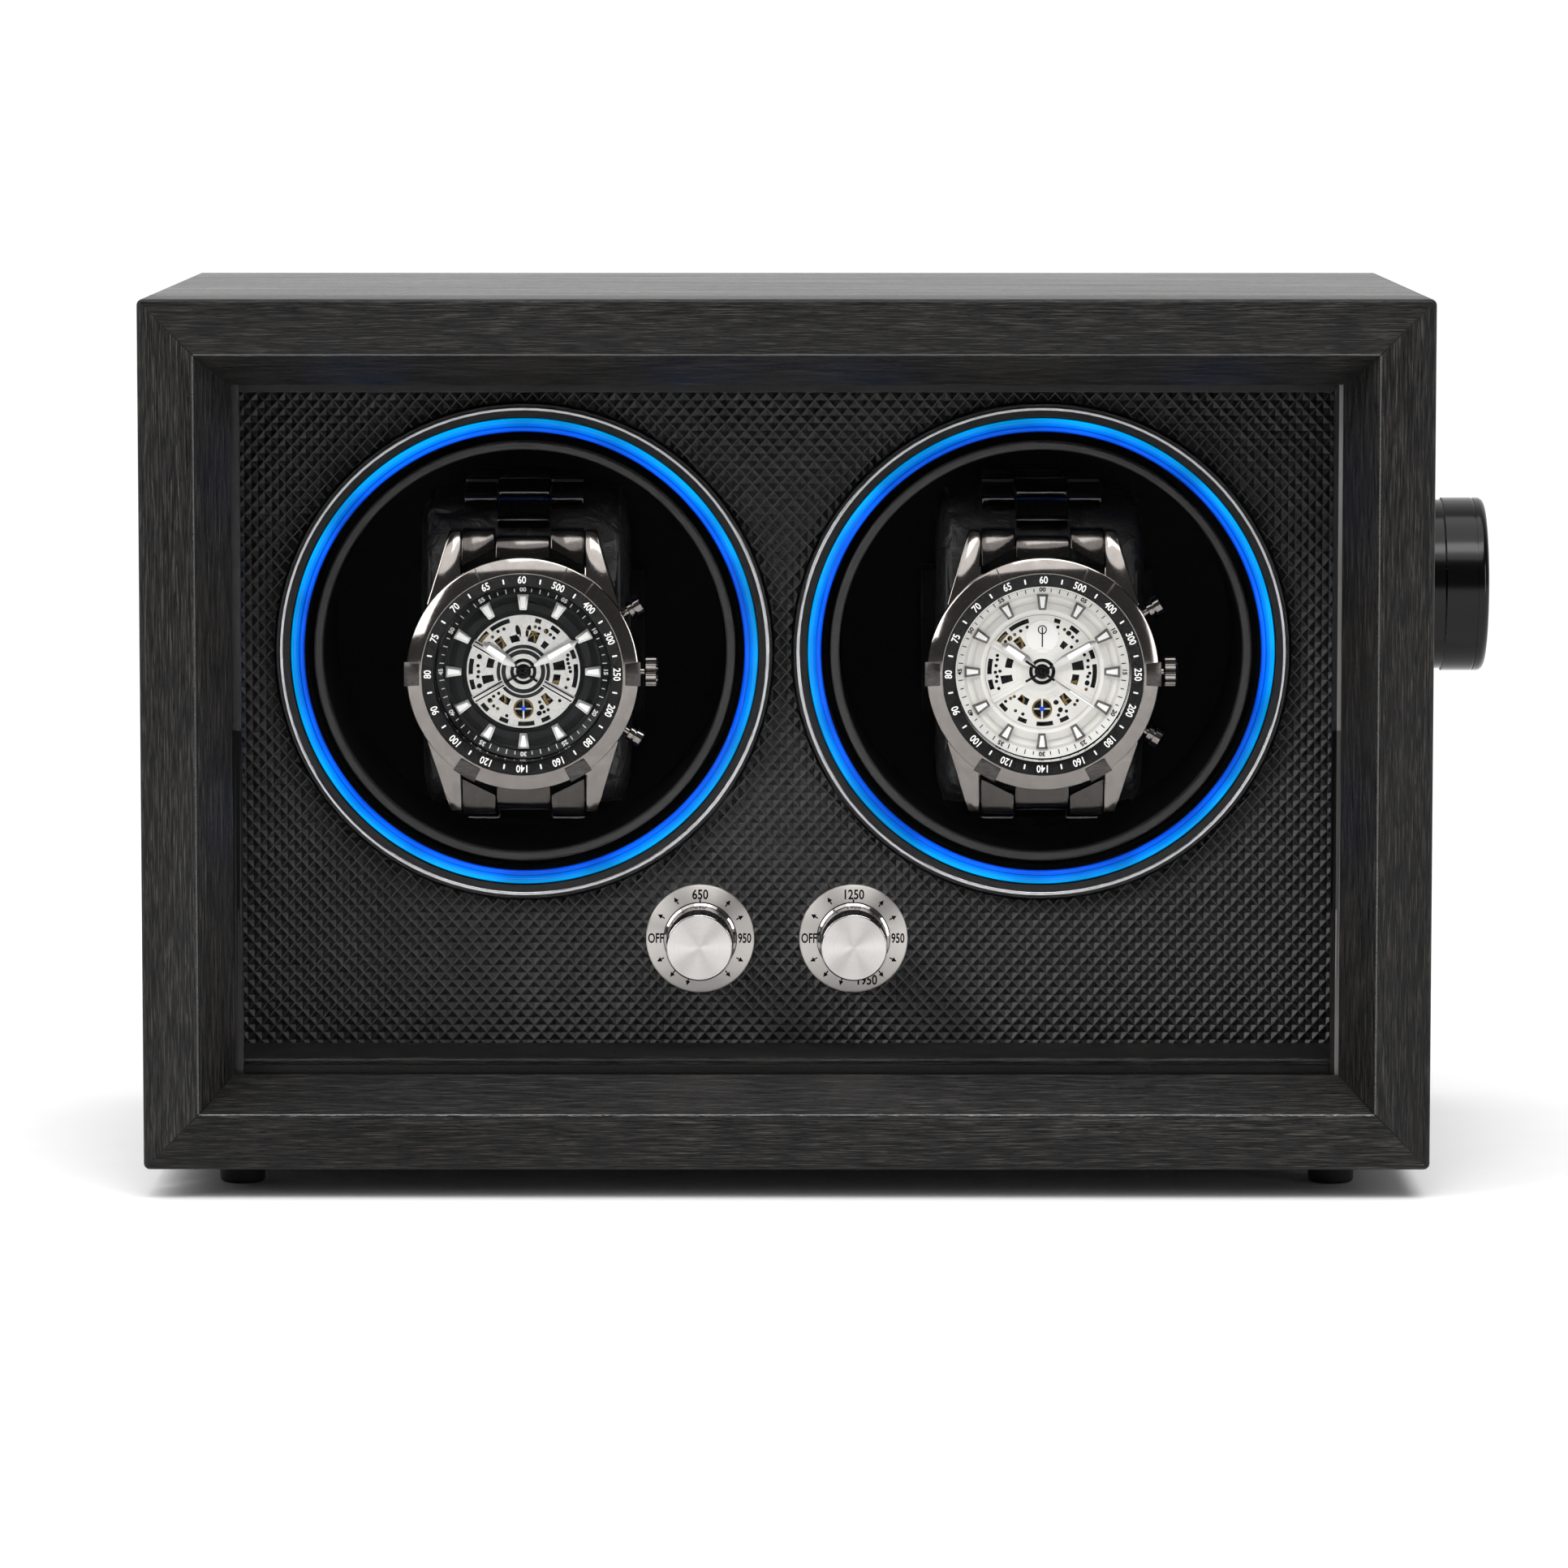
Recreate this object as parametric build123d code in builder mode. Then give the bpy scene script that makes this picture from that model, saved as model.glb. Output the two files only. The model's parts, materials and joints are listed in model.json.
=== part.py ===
from build123d import *
from math import cos, pi, radians, sin
import os

# Twin watch winder box: a wooden case with a hinged, glazed front door, two turning
# cups with watches on cushions, lit rings, two speed dials and a light knob on the side.
# Millimetres. X to the right, Y to the back, Z up; the feet stand on Z = 0.

os.makedirs("parts", exist_ok=True)

# ---- overall sizes ----
case_width = 250.0
case_height = 169.0
case_depth = 150.0
foot_height = 6.0
board = 12.0
corner_round = 1.2

# ---- door ----
door_thickness = 18.0
door_gap = 0.8
frame_face = 10.8
bevel_width = 6.3
bevel_depth = 12.0
front_round = 0.8
window_lap = 3.2
window_thickness = 2.0
bead_width = 4.6
bead_thickness = 2.4

# ---- hinges and catch ----
hinge_length = 24.0
hinge_spread = 100.0
knuckle_radius = 1.6
knuckle_gap = 0.3
hinge_pin_radius = 0.7
leaf_thickness = 0.8
leaf_reach = 8.0
hinge_chamfer = 2.4
magnet_radius = 3.0
magnet_thickness = 2.5
catch_plate_thickness = 1.2
catch_spread = 90.0

# ---- display recess ----
recess_depth = 41.0
liner_side = 4.5
liner_top = 5.0
ledge_height = 7.4
ledge_round = 0.8
leather_thickness = 1.0
panel_thickness = 6.0

# ---- rotors and light rings ----
rotor_spacing = 102.4
rotor_shift = -0.8
rotor_height = 97.8
cup_radius = 41.6
cup_wall = 1.6
cup_depth = 50.0
cup_floor = 3.0
cup_proud = 1.0
rim_lap = 0.2
rim_thickness = 2.5
rim_round = 0.5
light_gap = 1.8
light_width = 2.7
bezel_wall = 0.8
flange_width = 2.3
flange_proud = 2.5
chrome_width = 0.8
chrome_proud = 0.6
chrome_inset = 1.0
chrome_round = 0.25
flange_chamfer = 0.5
light_sink = 0.3
spindle_radius = 3.0
gearbox_radius = 18.5
gearbox_length = 22.0
motor_radius = 14.0
motor_length = 20.0
shroud_wall = 2.0
cup_end_gap = 3.0
spindle_clearance = 2.0
shroud_flange = 7.0
shroud_clearance = 2.9

# ---- cushions ----
cushion_width = 40.6
cushion_end_gap = 9.0
cushion_depth = 44.0
cushion_round = 11.0
cushion_proud = 3.0
cushion_edge = 2.0

# ---- watches ----
watch_radius = 22.9
watch_case_thickness = 8.6
bezel_thickness = 3.4
bezel_width = 4.5
dial_height = 3.6
dial_plate = 0.5
dial_relief = 0.7
chapter_width = 7.0
dial_fit = 0.2
bridge_lap = 0.1
bridge_width = 2.4
bridge_height = 0.6
hub_radius = 3.6
index_inset = 3.8
index_width = 1.4
index_length = 4.2
index_height = 1.1
post_radius = 0.5
post_height = 4.2
strap_gap = 0.4
stem_height = 4.6
stem_radius = 0.8
bezel_lap = 1.2
bezel_seat = 0.4
bezel_chamfer = 0.9
crystal_inset = 0.6
crystal_sink = 1.6
crystal_thickness = 1.8
watch_drop = 3.4
lug_spread = 28.8
lug_width = 2.25
lug_overhang = 4.7
lug_overlap = 9.7
lug_knee_inset = 2.7
lug_nose = 2.2
lug_lift = 0.2
bracelet_width = 24.2
bracelet_taper = 0.35
link_thickness = 2.8
link_count = 24
crown_radius = 3.05
crown_length = 2.8
pusher_radius = 1.9
pusher_length = 3.0
pusher_angle = 30.0
pusher_travel = 0.8
hand_thickness = 0.3
hand_boss = 0.9
hand_tail = 0.3
hand_shoulder = 0.75
hour_hand_inset = 1.8
minute_hand_inset = 1.0
seconds_hand_inset = 0.1
crown_gap = 1.0
crown_flutes = 18
flute_radius = 0.22
stem_gap = 0.8
pusher_chamfer = 0.3

# ---- controls ----
speed_spacing = 30.5
speed_shift = -2.0
speed_height = 40.4
dial_plate_radius = 10.8
dial_plate_thickness = 1.0
speed_knob_radius = 6.6
speed_knob_reach = 15.0
light_knob_radius = 17.15
light_knob_length = 8.3
light_collar_length = 4.7
light_knob_height = 111.0
light_knob_back = 43.0
knob_shaft_radius = 3.0

# ---- rear ----
rear_thickness = 4.0
rear_inset = 1.5
rear_rebate = 6.0
screw_radius = 1.5
jack_radius = 5.4
jack_height = 26.0

# ---- fits ----
running = 0.05
slip = 0.2
body_clearance = 0.3
overrun = 1.0

# ---- derived positions ----
knob_out = light_collar_length + light_knob_length
case_x = -knob_out / 2
front_y = -case_depth / 2
back_y = case_depth / 2
middle_z = foot_height + case_height / 2
half_w = case_width / 2
half_h = case_height / 2
inner_w = case_width - 2 * board
inner_h = case_height - 2 * board
door_back = front_y + door_thickness
box_front = door_back + door_gap
leather_front = front_y + recess_depth
panel_front = leather_front + leather_thickness
panel_back = panel_front + panel_thickness
rear_back = back_y - rear_inset
rear_front = rear_back - rear_thickness
rotor_z = foot_height + rotor_height
rotor_xs = [rotor_shift - rotor_spacing / 2, rotor_shift + rotor_spacing / 2]
speed_z = foot_height + speed_height
speed_xs = [speed_shift - speed_spacing / 2, speed_shift + speed_spacing / 2]


def facing(y, x=0.0, z=0.0):
    """A plane at depth y that looks out of the front, x from the case's middle and z above the floor."""
    return Plane(origin=(case_x + x, y, z), x_dir=(1, 0, 0), z_dir=(0, -1, 0))


def level(z, x=0.0, y=0.0):
    """A level plane at height z that looks up."""
    return Plane(origin=(case_x + x, y, z), x_dir=(1, 0, 0), z_dir=(0, 0, 1))


def sideways(x, y=0.0, z=0.0):
    """An upright plane x from the case's middle that looks to the right; its own x runs back."""
    return Plane(origin=(case_x + x, y, z), x_dir=(0, 1, 0), z_dir=(1, 0, 0))


def at_rotors(y):
    """The two rotor centres, as planes at depth y."""
    return [facing(y, x, rotor_z) for x in rotor_xs]


def at_dials(y):
    """The two speed dial centres, as planes at depth y."""
    return [facing(y, x, speed_z) for x in speed_xs]


# Wedges between the corner mitres: one pair keeps the level members, the other the upright ones.
mitre_out = 10.0
mitre_in = 60.0
far_x = half_w + mitre_out
near_x = half_w - mitre_in
far_z = half_h + mitre_out
near_z = half_h - mitre_in
upper_wedge = [(-far_x, far_z), (far_x, far_z), (near_x, near_z), (-near_x, near_z)]
lower_wedge = [(-x, -z) for x, z in upper_wedge]
right_wedge = [(far_x, far_z), (far_x, -far_z), (near_x, -near_z), (near_x, near_z)]
left_wedge = [(-x, -z) for x, z in right_wedge]

# ---- hinge line: it lies in the gap behind the door, just inside the left edge ----
hinge_x = -half_w + knuckle_radius
hinge_y = (door_back + box_front) / 2
hinge_zs = [middle_z - hinge_spread / 2, middle_z + hinge_spread / 2]
knuckle_clear = knuckle_radius + body_clearance
catch_x = half_w - frame_face / 2
catch_zs = [middle_z - catch_spread / 2, middle_z + catch_spread / 2]

# ---- side light knob ----
light_y = front_y + light_knob_back
light_z = foot_height + light_knob_height
dimmer_radius = 7.5
dimmer_depth = 6.0
dimmer_wall = 2.0
shaft_tip_gap = 0.5
collar_step = 0.4
knob_round = 1.4
groove_inset = 2.6
groove_width = 0.5
groove_depth = 0.3
bush_radius = 3.6

# ---- rear screws: along the rebate that the rear panel sits in ----
screw_line_x = half_w - rear_rebate - (board - rear_rebate) / 2
screw_line_z = half_h - rear_rebate - (board - rear_rebate) / 2
screw_rise = 55.0
screw_spread = 60.0
screw_spots = [(x, z) for x in (-screw_line_x, screw_line_x) for z in (-screw_rise, 0, screw_rise)]
screw_spots += [(x, z) for x in (-screw_spread, screw_spread) for z in (-screw_line_z, screw_line_z)]
screw_length = 12.0
screw_tip_gap = 1.0


def case_shell():
    """The four case boards as one ring, before the mitres part them."""
    with BuildPart() as shell:
        with BuildSketch(facing(back_y, 0, middle_z)):
            RectangleRounded(case_width, case_height, corner_round)
            Rectangle(inner_w, inner_h, mode=Mode.SUBTRACT)
        extrude(amount=back_y - box_front)
        # rebate for the rear panel
        with BuildSketch(facing(back_y, 0, middle_z)):
            Rectangle(case_width - 2 * rear_rebate, case_height - 2 * rear_rebate)
        extrude(amount=back_y - rear_front, mode=Mode.SUBTRACT)
        # chamfer beside the hinge line, which lets the door swing
        with BuildSketch(level(foot_height, -half_w, box_front)):
            Polygon(
                (-overrun, -overrun),
                (hinge_chamfer, -overrun),
                (hinge_chamfer, 0),
                (0, hinge_chamfer),
                (-overrun, hinge_chamfer),
                align=None,
            )
        extrude(amount=case_height, mode=Mode.SUBTRACT)
        # hinge leaves and knuckles are let in
        for z in hinge_zs:
            with Locations(level(z - hinge_length / 2 - body_clearance, hinge_x, hinge_y)):
                Cylinder(
                    knuckle_clear,
                    hinge_length + 2 * body_clearance,
                    align=(Align.CENTER, Align.CENTER, Align.MIN),
                    mode=Mode.SUBTRACT,
                )
            with BuildSketch(level(z - hinge_length / 2 - slip / 2, hinge_x, box_front)):
                Rectangle(leaf_reach + slip / 2, leaf_thickness + slip / 4, align=(Align.MIN, Align.MIN))
            extrude(amount=hinge_length + slip, mode=Mode.SUBTRACT)
        # catch magnets
        with BuildSketch(*[facing(box_front + magnet_thickness, catch_x, z) for z in catch_zs]):
            Circle(magnet_radius)
        extrude(amount=magnet_thickness + overrun, mode=Mode.SUBTRACT)
        # rear screws
        with BuildSketch(facing(rear_front, 0, middle_z)):
            with Locations(*screw_spots):
                Circle(screw_radius + running)
        extrude(amount=screw_length, mode=Mode.SUBTRACT)
        # pocket and hole for the light dimmer
        with BuildSketch(sideways(half_w - board, light_y, light_z)):
            Circle(dimmer_radius + slip)
        extrude(amount=dimmer_depth + slip, mode=Mode.SUBTRACT)
        with BuildSketch(sideways(half_w - board, light_y, light_z)):
            Circle(bush_radius + slip)
        extrude(amount=board, mode=Mode.SUBTRACT)
    return shell.part


# ---- case boards ----
shell_blank = case_shell()

with BuildPart() as case_top_board:
    add(shell_blank)
    with BuildSketch(facing(back_y, 0, middle_z)):
        Polygon(*upper_wedge, align=None)
    extrude(amount=case_depth, mode=Mode.INTERSECT)

with BuildPart() as case_bottom_board:
    add(shell_blank)
    with BuildSketch(facing(back_y, 0, middle_z)):
        Polygon(*lower_wedge, align=None)
    extrude(amount=case_depth, mode=Mode.INTERSECT)

with BuildPart() as case_sides:
    add(shell_blank)
    with BuildSketch(facing(back_y, 0, middle_z)):
        Polygon(*left_wedge, align=None)
        Polygon(*right_wedge, align=None)
    extrude(amount=case_depth, mode=Mode.INTERSECT)

# ---- rear panel, inset in its rebate ----
with BuildPart() as rear_panel:
    with BuildSketch(facing(rear_back, 0, middle_z)):
        Rectangle(case_width - 2 * rear_rebate - slip, case_height - 2 * rear_rebate - slip)
        with Locations(*screw_spots):
            Circle(screw_radius + running, mode=Mode.SUBTRACT)
        with Locations((0, jack_height + foot_height - middle_z)):
            Circle(jack_radius + running, mode=Mode.SUBTRACT)
    extrude(amount=rear_thickness)
    # countersinks
    with Locations(*[facing(rear_back, x, middle_z + z) for x, z in screw_spots]):
        Cone(
            screw_radius + running,
            2 * screw_radius + running,
            screw_radius,
            align=(Align.CENTER, Align.CENTER, Align.MIN),
            rotation=(180, 0, 0),
            mode=Mode.SUBTRACT,
        )

with BuildPart() as rear_panel_screws:
    with BuildSketch(*[facing(rear_back, x, middle_z + z) for x, z in screw_spots]):
        Circle(screw_radius)
    extrude(amount=rear_thickness + screw_length - screw_tip_gap)
    with Locations(*[facing(rear_back, x, middle_z + z) for x, z in screw_spots]):
        Cone(
            screw_radius,
            2 * screw_radius,
            screw_radius,
            align=(Align.CENTER, Align.CENTER, Align.MIN),
            rotation=(180, 0, 0),
        )

# ---- rubber feet ----
foot_radius = 4.8
foot_taper = 4.0
foot_inset_x = 17.5
foot_inset_y = 25.0
foot_round = 0.9
foot_spots = [
    (case_x + x, y)
    for x in (-half_w + foot_inset_x, half_w - foot_inset_x)
    for y in (front_y + foot_inset_y, back_y - foot_inset_y)
]
with BuildPart() as rubber_feet:
    with BuildSketch(Plane.XY.offset(foot_height)):
        with Locations(*foot_spots):
            Circle(foot_radius)
    extrude(amount=-foot_height, taper=foot_taper)
    fillet(rubber_feet.edges().group_by(Axis.Z)[0], foot_round)

# ---- recess behind the door: four liner strips, the lowest a ledge ----
with BuildPart() as recess_liner:
    with BuildSketch(facing(leather_front, 0, middle_z)):
        for side in (-1, 1):
            with Locations((side * (inner_w - liner_side) / 2, (ledge_height - liner_top) / 2)):
                Rectangle(liner_side, inner_h - ledge_height - liner_top)
    extrude(amount=leather_front - box_front)
    with BuildSketch(facing(leather_front, 0, middle_z + inner_h / 2)):
        Rectangle(inner_w, liner_top, align=(Align.CENTER, Align.MAX))
    extrude(amount=leather_front - box_front)
    with BuildSketch(facing(leather_front, 0, middle_z - inner_h / 2)):
        Rectangle(inner_w, ledge_height, align=(Align.CENTER, Align.MIN))
    extrude(amount=leather_front - box_front)
    ledge_nose = recess_liner.edges().filter_by(Axis.X).group_by(Axis.Y)[0]
    ledge_floor = middle_z - inner_h / 2
    fillet(ledge_nose.filter_by_position(Axis.Z, ledge_floor + overrun, middle_z), ledge_round)


# ---- front panel with its leather skin ----
light_inner = cup_radius + rim_lap + light_gap
light_outer = light_inner + light_width
bezel_inner = light_outer + slip
bezel_outer = bezel_inner + bezel_wall
panel_bore = bezel_outer + slip
flange_radius = bezel_inner + bezel_wall + flange_width
bushing_hole = bush_radius + slip

with BuildPart() as front_panel:
    with BuildSketch(facing(panel_back, 0, middle_z)):
        Rectangle(inner_w - slip, inner_h - slip)
    extrude(amount=panel_thickness)
    with BuildSketch(*at_rotors(panel_back)):
        Circle(panel_bore)
    extrude(amount=panel_thickness, mode=Mode.SUBTRACT)
    with BuildSketch(*at_dials(panel_back)):
        Circle(bushing_hole)
    extrude(amount=panel_thickness, mode=Mode.SUBTRACT)

with BuildPart() as panel_leather:
    with BuildSketch(facing(panel_front, 0, middle_z)):
        Rectangle(inner_w - slip, inner_h - slip)
    extrude(amount=leather_thickness)
    with BuildSketch(*at_rotors(panel_front)):
        Circle(panel_bore)
    extrude(amount=leather_thickness, mode=Mode.SUBTRACT)
    with BuildSketch(*at_dials(panel_front)):
        Circle(bushing_hole)
    extrude(amount=leather_thickness, mode=Mode.SUBTRACT)

# ---- light rings: black flange and tube, chrome trim, light guide, LED board ----
flange_front = leather_front - flange_proud
trim_outer = flange_radius - chrome_inset

with BuildPart() as light_bezels:
    with BuildSketch(*at_rotors(panel_back)):
        Circle(bezel_outer)
        Circle(bezel_inner, mode=Mode.SUBTRACT)
    extrude(amount=panel_back - leather_front)
    with BuildSketch(*at_rotors(leather_front)):
        Circle(flange_radius)
        Circle(bezel_inner, mode=Mode.SUBTRACT)
    extrude(amount=flange_proud)
    outer_front = light_bezels.edges().filter_by(GeomType.CIRCLE).group_by(Axis.Y)[0]
    chamfer(outer_front.filter_by(lambda edge: edge.radius > bezel_outer), flange_chamfer)

with BuildPart() as chrome_rings:
    with BuildSketch(*at_rotors(flange_front)):
        Circle(trim_outer)
        Circle(trim_outer - chrome_width, mode=Mode.SUBTRACT)
    extrude(amount=chrome_proud)
    fillet(chrome_rings.edges().filter_by(GeomType.CIRCLE).group_by(Axis.Y)[0], chrome_round)

with BuildPart() as light_guides:
    with BuildSketch(*at_rotors(panel_back)):
        Circle(light_outer)
        Circle(light_inner, mode=Mode.SUBTRACT)
    extrude(amount=panel_back - flange_front - light_sink)

led_board_lap = 5.0
led_board_outer = bezel_outer + led_board_lap
led_board_thickness = 1.6
with BuildPart() as led_boards:
    with BuildSketch(*at_rotors(panel_back + led_board_thickness)):
        Circle(led_board_outer)
        Circle(light_inner, mode=Mode.SUBTRACT)
    extrude(amount=led_board_thickness)

# ---- fixed shrouds that carry the gear motors behind the panel ----
cup_front = leather_front - cup_proud
cup_back = cup_front + cup_depth
shroud_inner = cup_radius + shroud_clearance
shroud_outer = shroud_inner + shroud_wall
shroud_front = panel_back + led_board_thickness
shroud_floor = cup_back + cup_end_gap
shroud_back = shroud_floor + shroud_wall
gearbox_back = shroud_back + gearbox_length
motor_back = gearbox_back + motor_length

with BuildPart() as drum_housings:
    with BuildSketch(*at_rotors(shroud_back)):
        Circle(shroud_outer)
    extrude(amount=shroud_back - shroud_front)
    with BuildSketch(*at_rotors(shroud_front + shroud_wall)):
        Circle(shroud_inner + shroud_flange)
    extrude(amount=shroud_wall)
    with BuildSketch(*at_rotors(shroud_floor)):
        Circle(shroud_inner)
    extrude(amount=shroud_floor - shroud_front, mode=Mode.SUBTRACT)
    with BuildSketch(*at_rotors(shroud_back)):
        Circle(spindle_radius + spindle_clearance)
    extrude(amount=shroud_wall, mode=Mode.SUBTRACT)

spindle_depth = 16.0
spindle_tip_gap = 1.0
motor_chamfer = 1.0
with BuildPart() as gear_motors:
    with BuildSketch(*at_rotors(gearbox_back)):
        Circle(gearbox_radius)
    extrude(amount=gearbox_length)
    with BuildSketch(*at_rotors(motor_back)):
        Circle(motor_radius)
    extrude(amount=motor_length)
    with BuildSketch(*at_rotors(shroud_back + spindle_depth)):
        Circle(spindle_radius + running)
    extrude(amount=spindle_depth, mode=Mode.SUBTRACT)
    chamfer(gear_motors.edges().filter_by(GeomType.CIRCLE).group_by(Axis.Y)[-1], motor_chamfer)

# ---- speed dials: engraved plates on the leather, rotary switches behind the panel ----
plate_front = leather_front - dial_plate_thickness
switch_size = 15.0
switch_round = 1.0
switch_depth = 11.0
switch_bore = 4.0
plate_chamfer = 0.3

with BuildPart() as dial_plates:
    with BuildSketch(*at_dials(leather_front)):
        Circle(dial_plate_radius)
        Circle(bushing_hole, mode=Mode.SUBTRACT)
    extrude(amount=dial_plate_thickness)
    plate_edges = dial_plates.edges().filter_by(GeomType.CIRCLE).group_by(Axis.Y)[0]
    chamfer(plate_edges.filter_by(lambda edge: edge.radius > bushing_hole), plate_chamfer)

with BuildPart() as rotary_switches:
    with BuildSketch(*at_dials(panel_back + switch_depth)):
        RectangleRounded(switch_size, switch_size, switch_round)
    extrude(amount=switch_depth)
    with BuildSketch(*at_dials(panel_back)):
        Circle(bush_radius)
    extrude(amount=panel_back - leather_front)
    with BuildSketch(*at_dials(panel_back + switch_bore)):
        Circle(knob_shaft_radius + running)
    extrude(amount=panel_back + switch_bore - leather_front, mode=Mode.SUBTRACT)

# ---- power: jack in the rear panel, control board on posts between the motors ----
jack_length = 14.0
jack_flange = 1.2
jack_flange_lap = 1.6
jack_bore = 2.9
jack_pin = 1.0
jack_bore_depth = 10.0
jack_z = foot_height + jack_height
with BuildPart() as dc_jack:
    with BuildSketch(facing(rear_back + jack_flange, 0, jack_z)):
        Circle(jack_radius + jack_flange_lap)
    extrude(amount=jack_flange)
    with BuildSketch(facing(rear_back, 0, jack_z)):
        Circle(jack_radius)
    extrude(amount=jack_length)
    with BuildSketch(facing(rear_back + jack_flange, 0, jack_z)):
        Circle(jack_bore)
        Circle(jack_pin, mode=Mode.SUBTRACT)
    extrude(amount=jack_bore_depth, mode=Mode.SUBTRACT)

board_post = 8.0
board_post_radius = 2.2
board_width = 40.0
board_height = 50.0
board_margin = 4.0
board_thickness = 1.6
board_z = middle_z - 12.0
chip_height = 3.0
chip_size = 12.0
chip_shift = 8.0
capacitor_width = 8.0
capacitor_height = 16.0
board_y = rear_front - board_post
board_spots = [
    (x, z)
    for x in (-board_width / 2 + board_margin, board_width / 2 - board_margin)
    for z in (-board_height / 2 + board_margin, board_height / 2 - board_margin)
]
with BuildPart() as control_board:
    with BuildSketch(facing(board_y, 0, board_z)):
        Rectangle(board_width, board_height)
    extrude(amount=board_thickness)
    with BuildSketch(facing(rear_front, 0, board_z)):
        with Locations(*board_spots):
            Circle(board_post_radius)
    extrude(amount=board_post)
    with BuildSketch(facing(board_y - board_thickness, 0, board_z)):
        with Locations((-chip_shift, chip_shift)):
            Rectangle(chip_size, chip_size)
        with Locations((chip_shift, -chip_shift)):
            Rectangle(capacitor_width, capacitor_height)
    extrude(amount=chip_height)

# ---- light dimmer in the right board, with its fixed collar outside ----
with BuildPart() as light_dimmer:
    with BuildSketch(sideways(half_w - board, light_y, light_z)):
        Circle(dimmer_radius)
    extrude(amount=dimmer_depth)
    with BuildSketch(sideways(half_w - board + dimmer_depth, light_y, light_z)):
        Circle(bush_radius)
    extrude(amount=board - dimmer_depth)
    with BuildSketch(sideways(half_w - board + dimmer_wall, light_y, light_z)):
        Circle(knob_shaft_radius + running)
    extrude(amount=board, mode=Mode.SUBTRACT)

with BuildPart() as light_knob_collar:
    with BuildSketch(sideways(half_w, light_y, light_z)):
        Circle(light_knob_radius - collar_step)
        Circle(knob_shaft_radius + slip, mode=Mode.SUBTRACT)
    extrude(amount=light_collar_length - body_clearance)

with BuildPart() as light_knob:
    with BuildSketch(sideways(half_w + light_collar_length, light_y, light_z)):
        Circle(light_knob_radius)
    extrude(amount=light_knob_length)
    rim = light_knob.edges().filter_by(GeomType.CIRCLE).sort_by(Axis.X)[-1]
    fillet(rim, knob_round)
    shaft_start = dimmer_wall + shaft_tip_gap - board
    with BuildSketch(sideways(half_w + shaft_start, light_y, light_z)):
        Circle(knob_shaft_radius)
    extrude(amount=light_collar_length - shaft_start)
    # shallow groove round the outer third
    with BuildSketch(sideways(half_w + knob_out - groove_inset, light_y, light_z)):
        Circle(light_knob_radius + overrun)
        Circle(light_knob_radius - groove_depth, mode=Mode.SUBTRACT)
    extrude(amount=groove_width, mode=Mode.SUBTRACT)


skirt_lap = 0.6
skirt_height = 2.5
speed_knob_chamfer = 0.5
speed_shaft_depth = 3.0


def speed_knob(x):
    """A push-on knob with a skirt and its own spindle, on the dial centre x."""
    with BuildPart() as knob:
        with BuildSketch(facing(plate_front - body_clearance, x, speed_z)):
            Circle(speed_knob_radius + skirt_lap)
        extrude(amount=skirt_height)
        with BuildSketch(facing(plate_front - body_clearance, x, speed_z)):
            Circle(speed_knob_radius)
        extrude(amount=speed_knob_reach)
        tip = knob.edges().filter_by(GeomType.CIRCLE).sort_by(Axis.Y)[0]
        chamfer(tip, speed_knob_chamfer)
        with BuildSketch(facing(panel_back + speed_shaft_depth, x, speed_z)):
            Circle(knob_shaft_radius)
        extrude(amount=panel_back + speed_shaft_depth - plate_front + body_clearance)
    return knob


speed_knob_left = speed_knob(speed_xs[0])
speed_knob_right = speed_knob(speed_xs[1])

# ---- door ----
opening_w = case_width - 2 * (frame_face + bevel_width)
opening_h = case_height - 2 * (frame_face + bevel_width)
rebate_w = opening_w + 2 * window_lap
rebate_h = opening_h + 2 * window_lap
bevel_back = front_y + bevel_depth
window_back = bevel_back + window_thickness


def door_frame():
    """The door's whole frame with its bevelled opening, before the mitres part it."""
    with BuildPart() as frame:
        with BuildSketch(facing(door_back, 0, middle_z)):
            RectangleRounded(case_width, case_height, corner_round)
        extrude(amount=door_thickness)
        fillet(frame.faces().sort_by(Axis.Y)[0].outer_wire().edges(), front_round)
        # bevelled opening
        with BuildSketch(facing(bevel_back, 0, middle_z)):
            Rectangle(opening_w, opening_h)
        with BuildSketch(facing(front_y, 0, middle_z)):
            Rectangle(opening_w + 2 * bevel_width, opening_h + 2 * bevel_width)
        loft(mode=Mode.SUBTRACT)
        # rebate for the window
        with BuildSketch(facing(door_back, 0, middle_z)):
            Rectangle(rebate_w, rebate_h)
        extrude(amount=door_back - bevel_back, mode=Mode.SUBTRACT)
        # chamfer beside the hinge line
        with BuildSketch(level(foot_height, -half_w, door_back)):
            Polygon(
                (-overrun, overrun),
                (hinge_chamfer, overrun),
                (hinge_chamfer, 0),
                (0, -hinge_chamfer),
                (-overrun, -hinge_chamfer),
                align=None,
            )
        extrude(amount=case_height, mode=Mode.SUBTRACT)
        for z in hinge_zs:
            with Locations(level(z - hinge_length / 2 - body_clearance, hinge_x, hinge_y)):
                Cylinder(
                    knuckle_clear,
                    hinge_length + 2 * body_clearance,
                    align=(Align.CENTER, Align.CENTER, Align.MIN),
                    mode=Mode.SUBTRACT,
                )
            with BuildSketch(level(z - hinge_length / 2 - slip / 2, hinge_x, door_back)):
                Rectangle(leaf_reach + slip / 2, leaf_thickness + slip / 4, align=(Align.MIN, Align.MAX))
            extrude(amount=hinge_length + slip, mode=Mode.SUBTRACT)
        with BuildSketch(*[facing(door_back, catch_x, z) for z in catch_zs]):
            Circle(magnet_radius)
        extrude(amount=catch_plate_thickness, mode=Mode.SUBTRACT)
    return frame.part


door_blank = door_frame()

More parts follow.
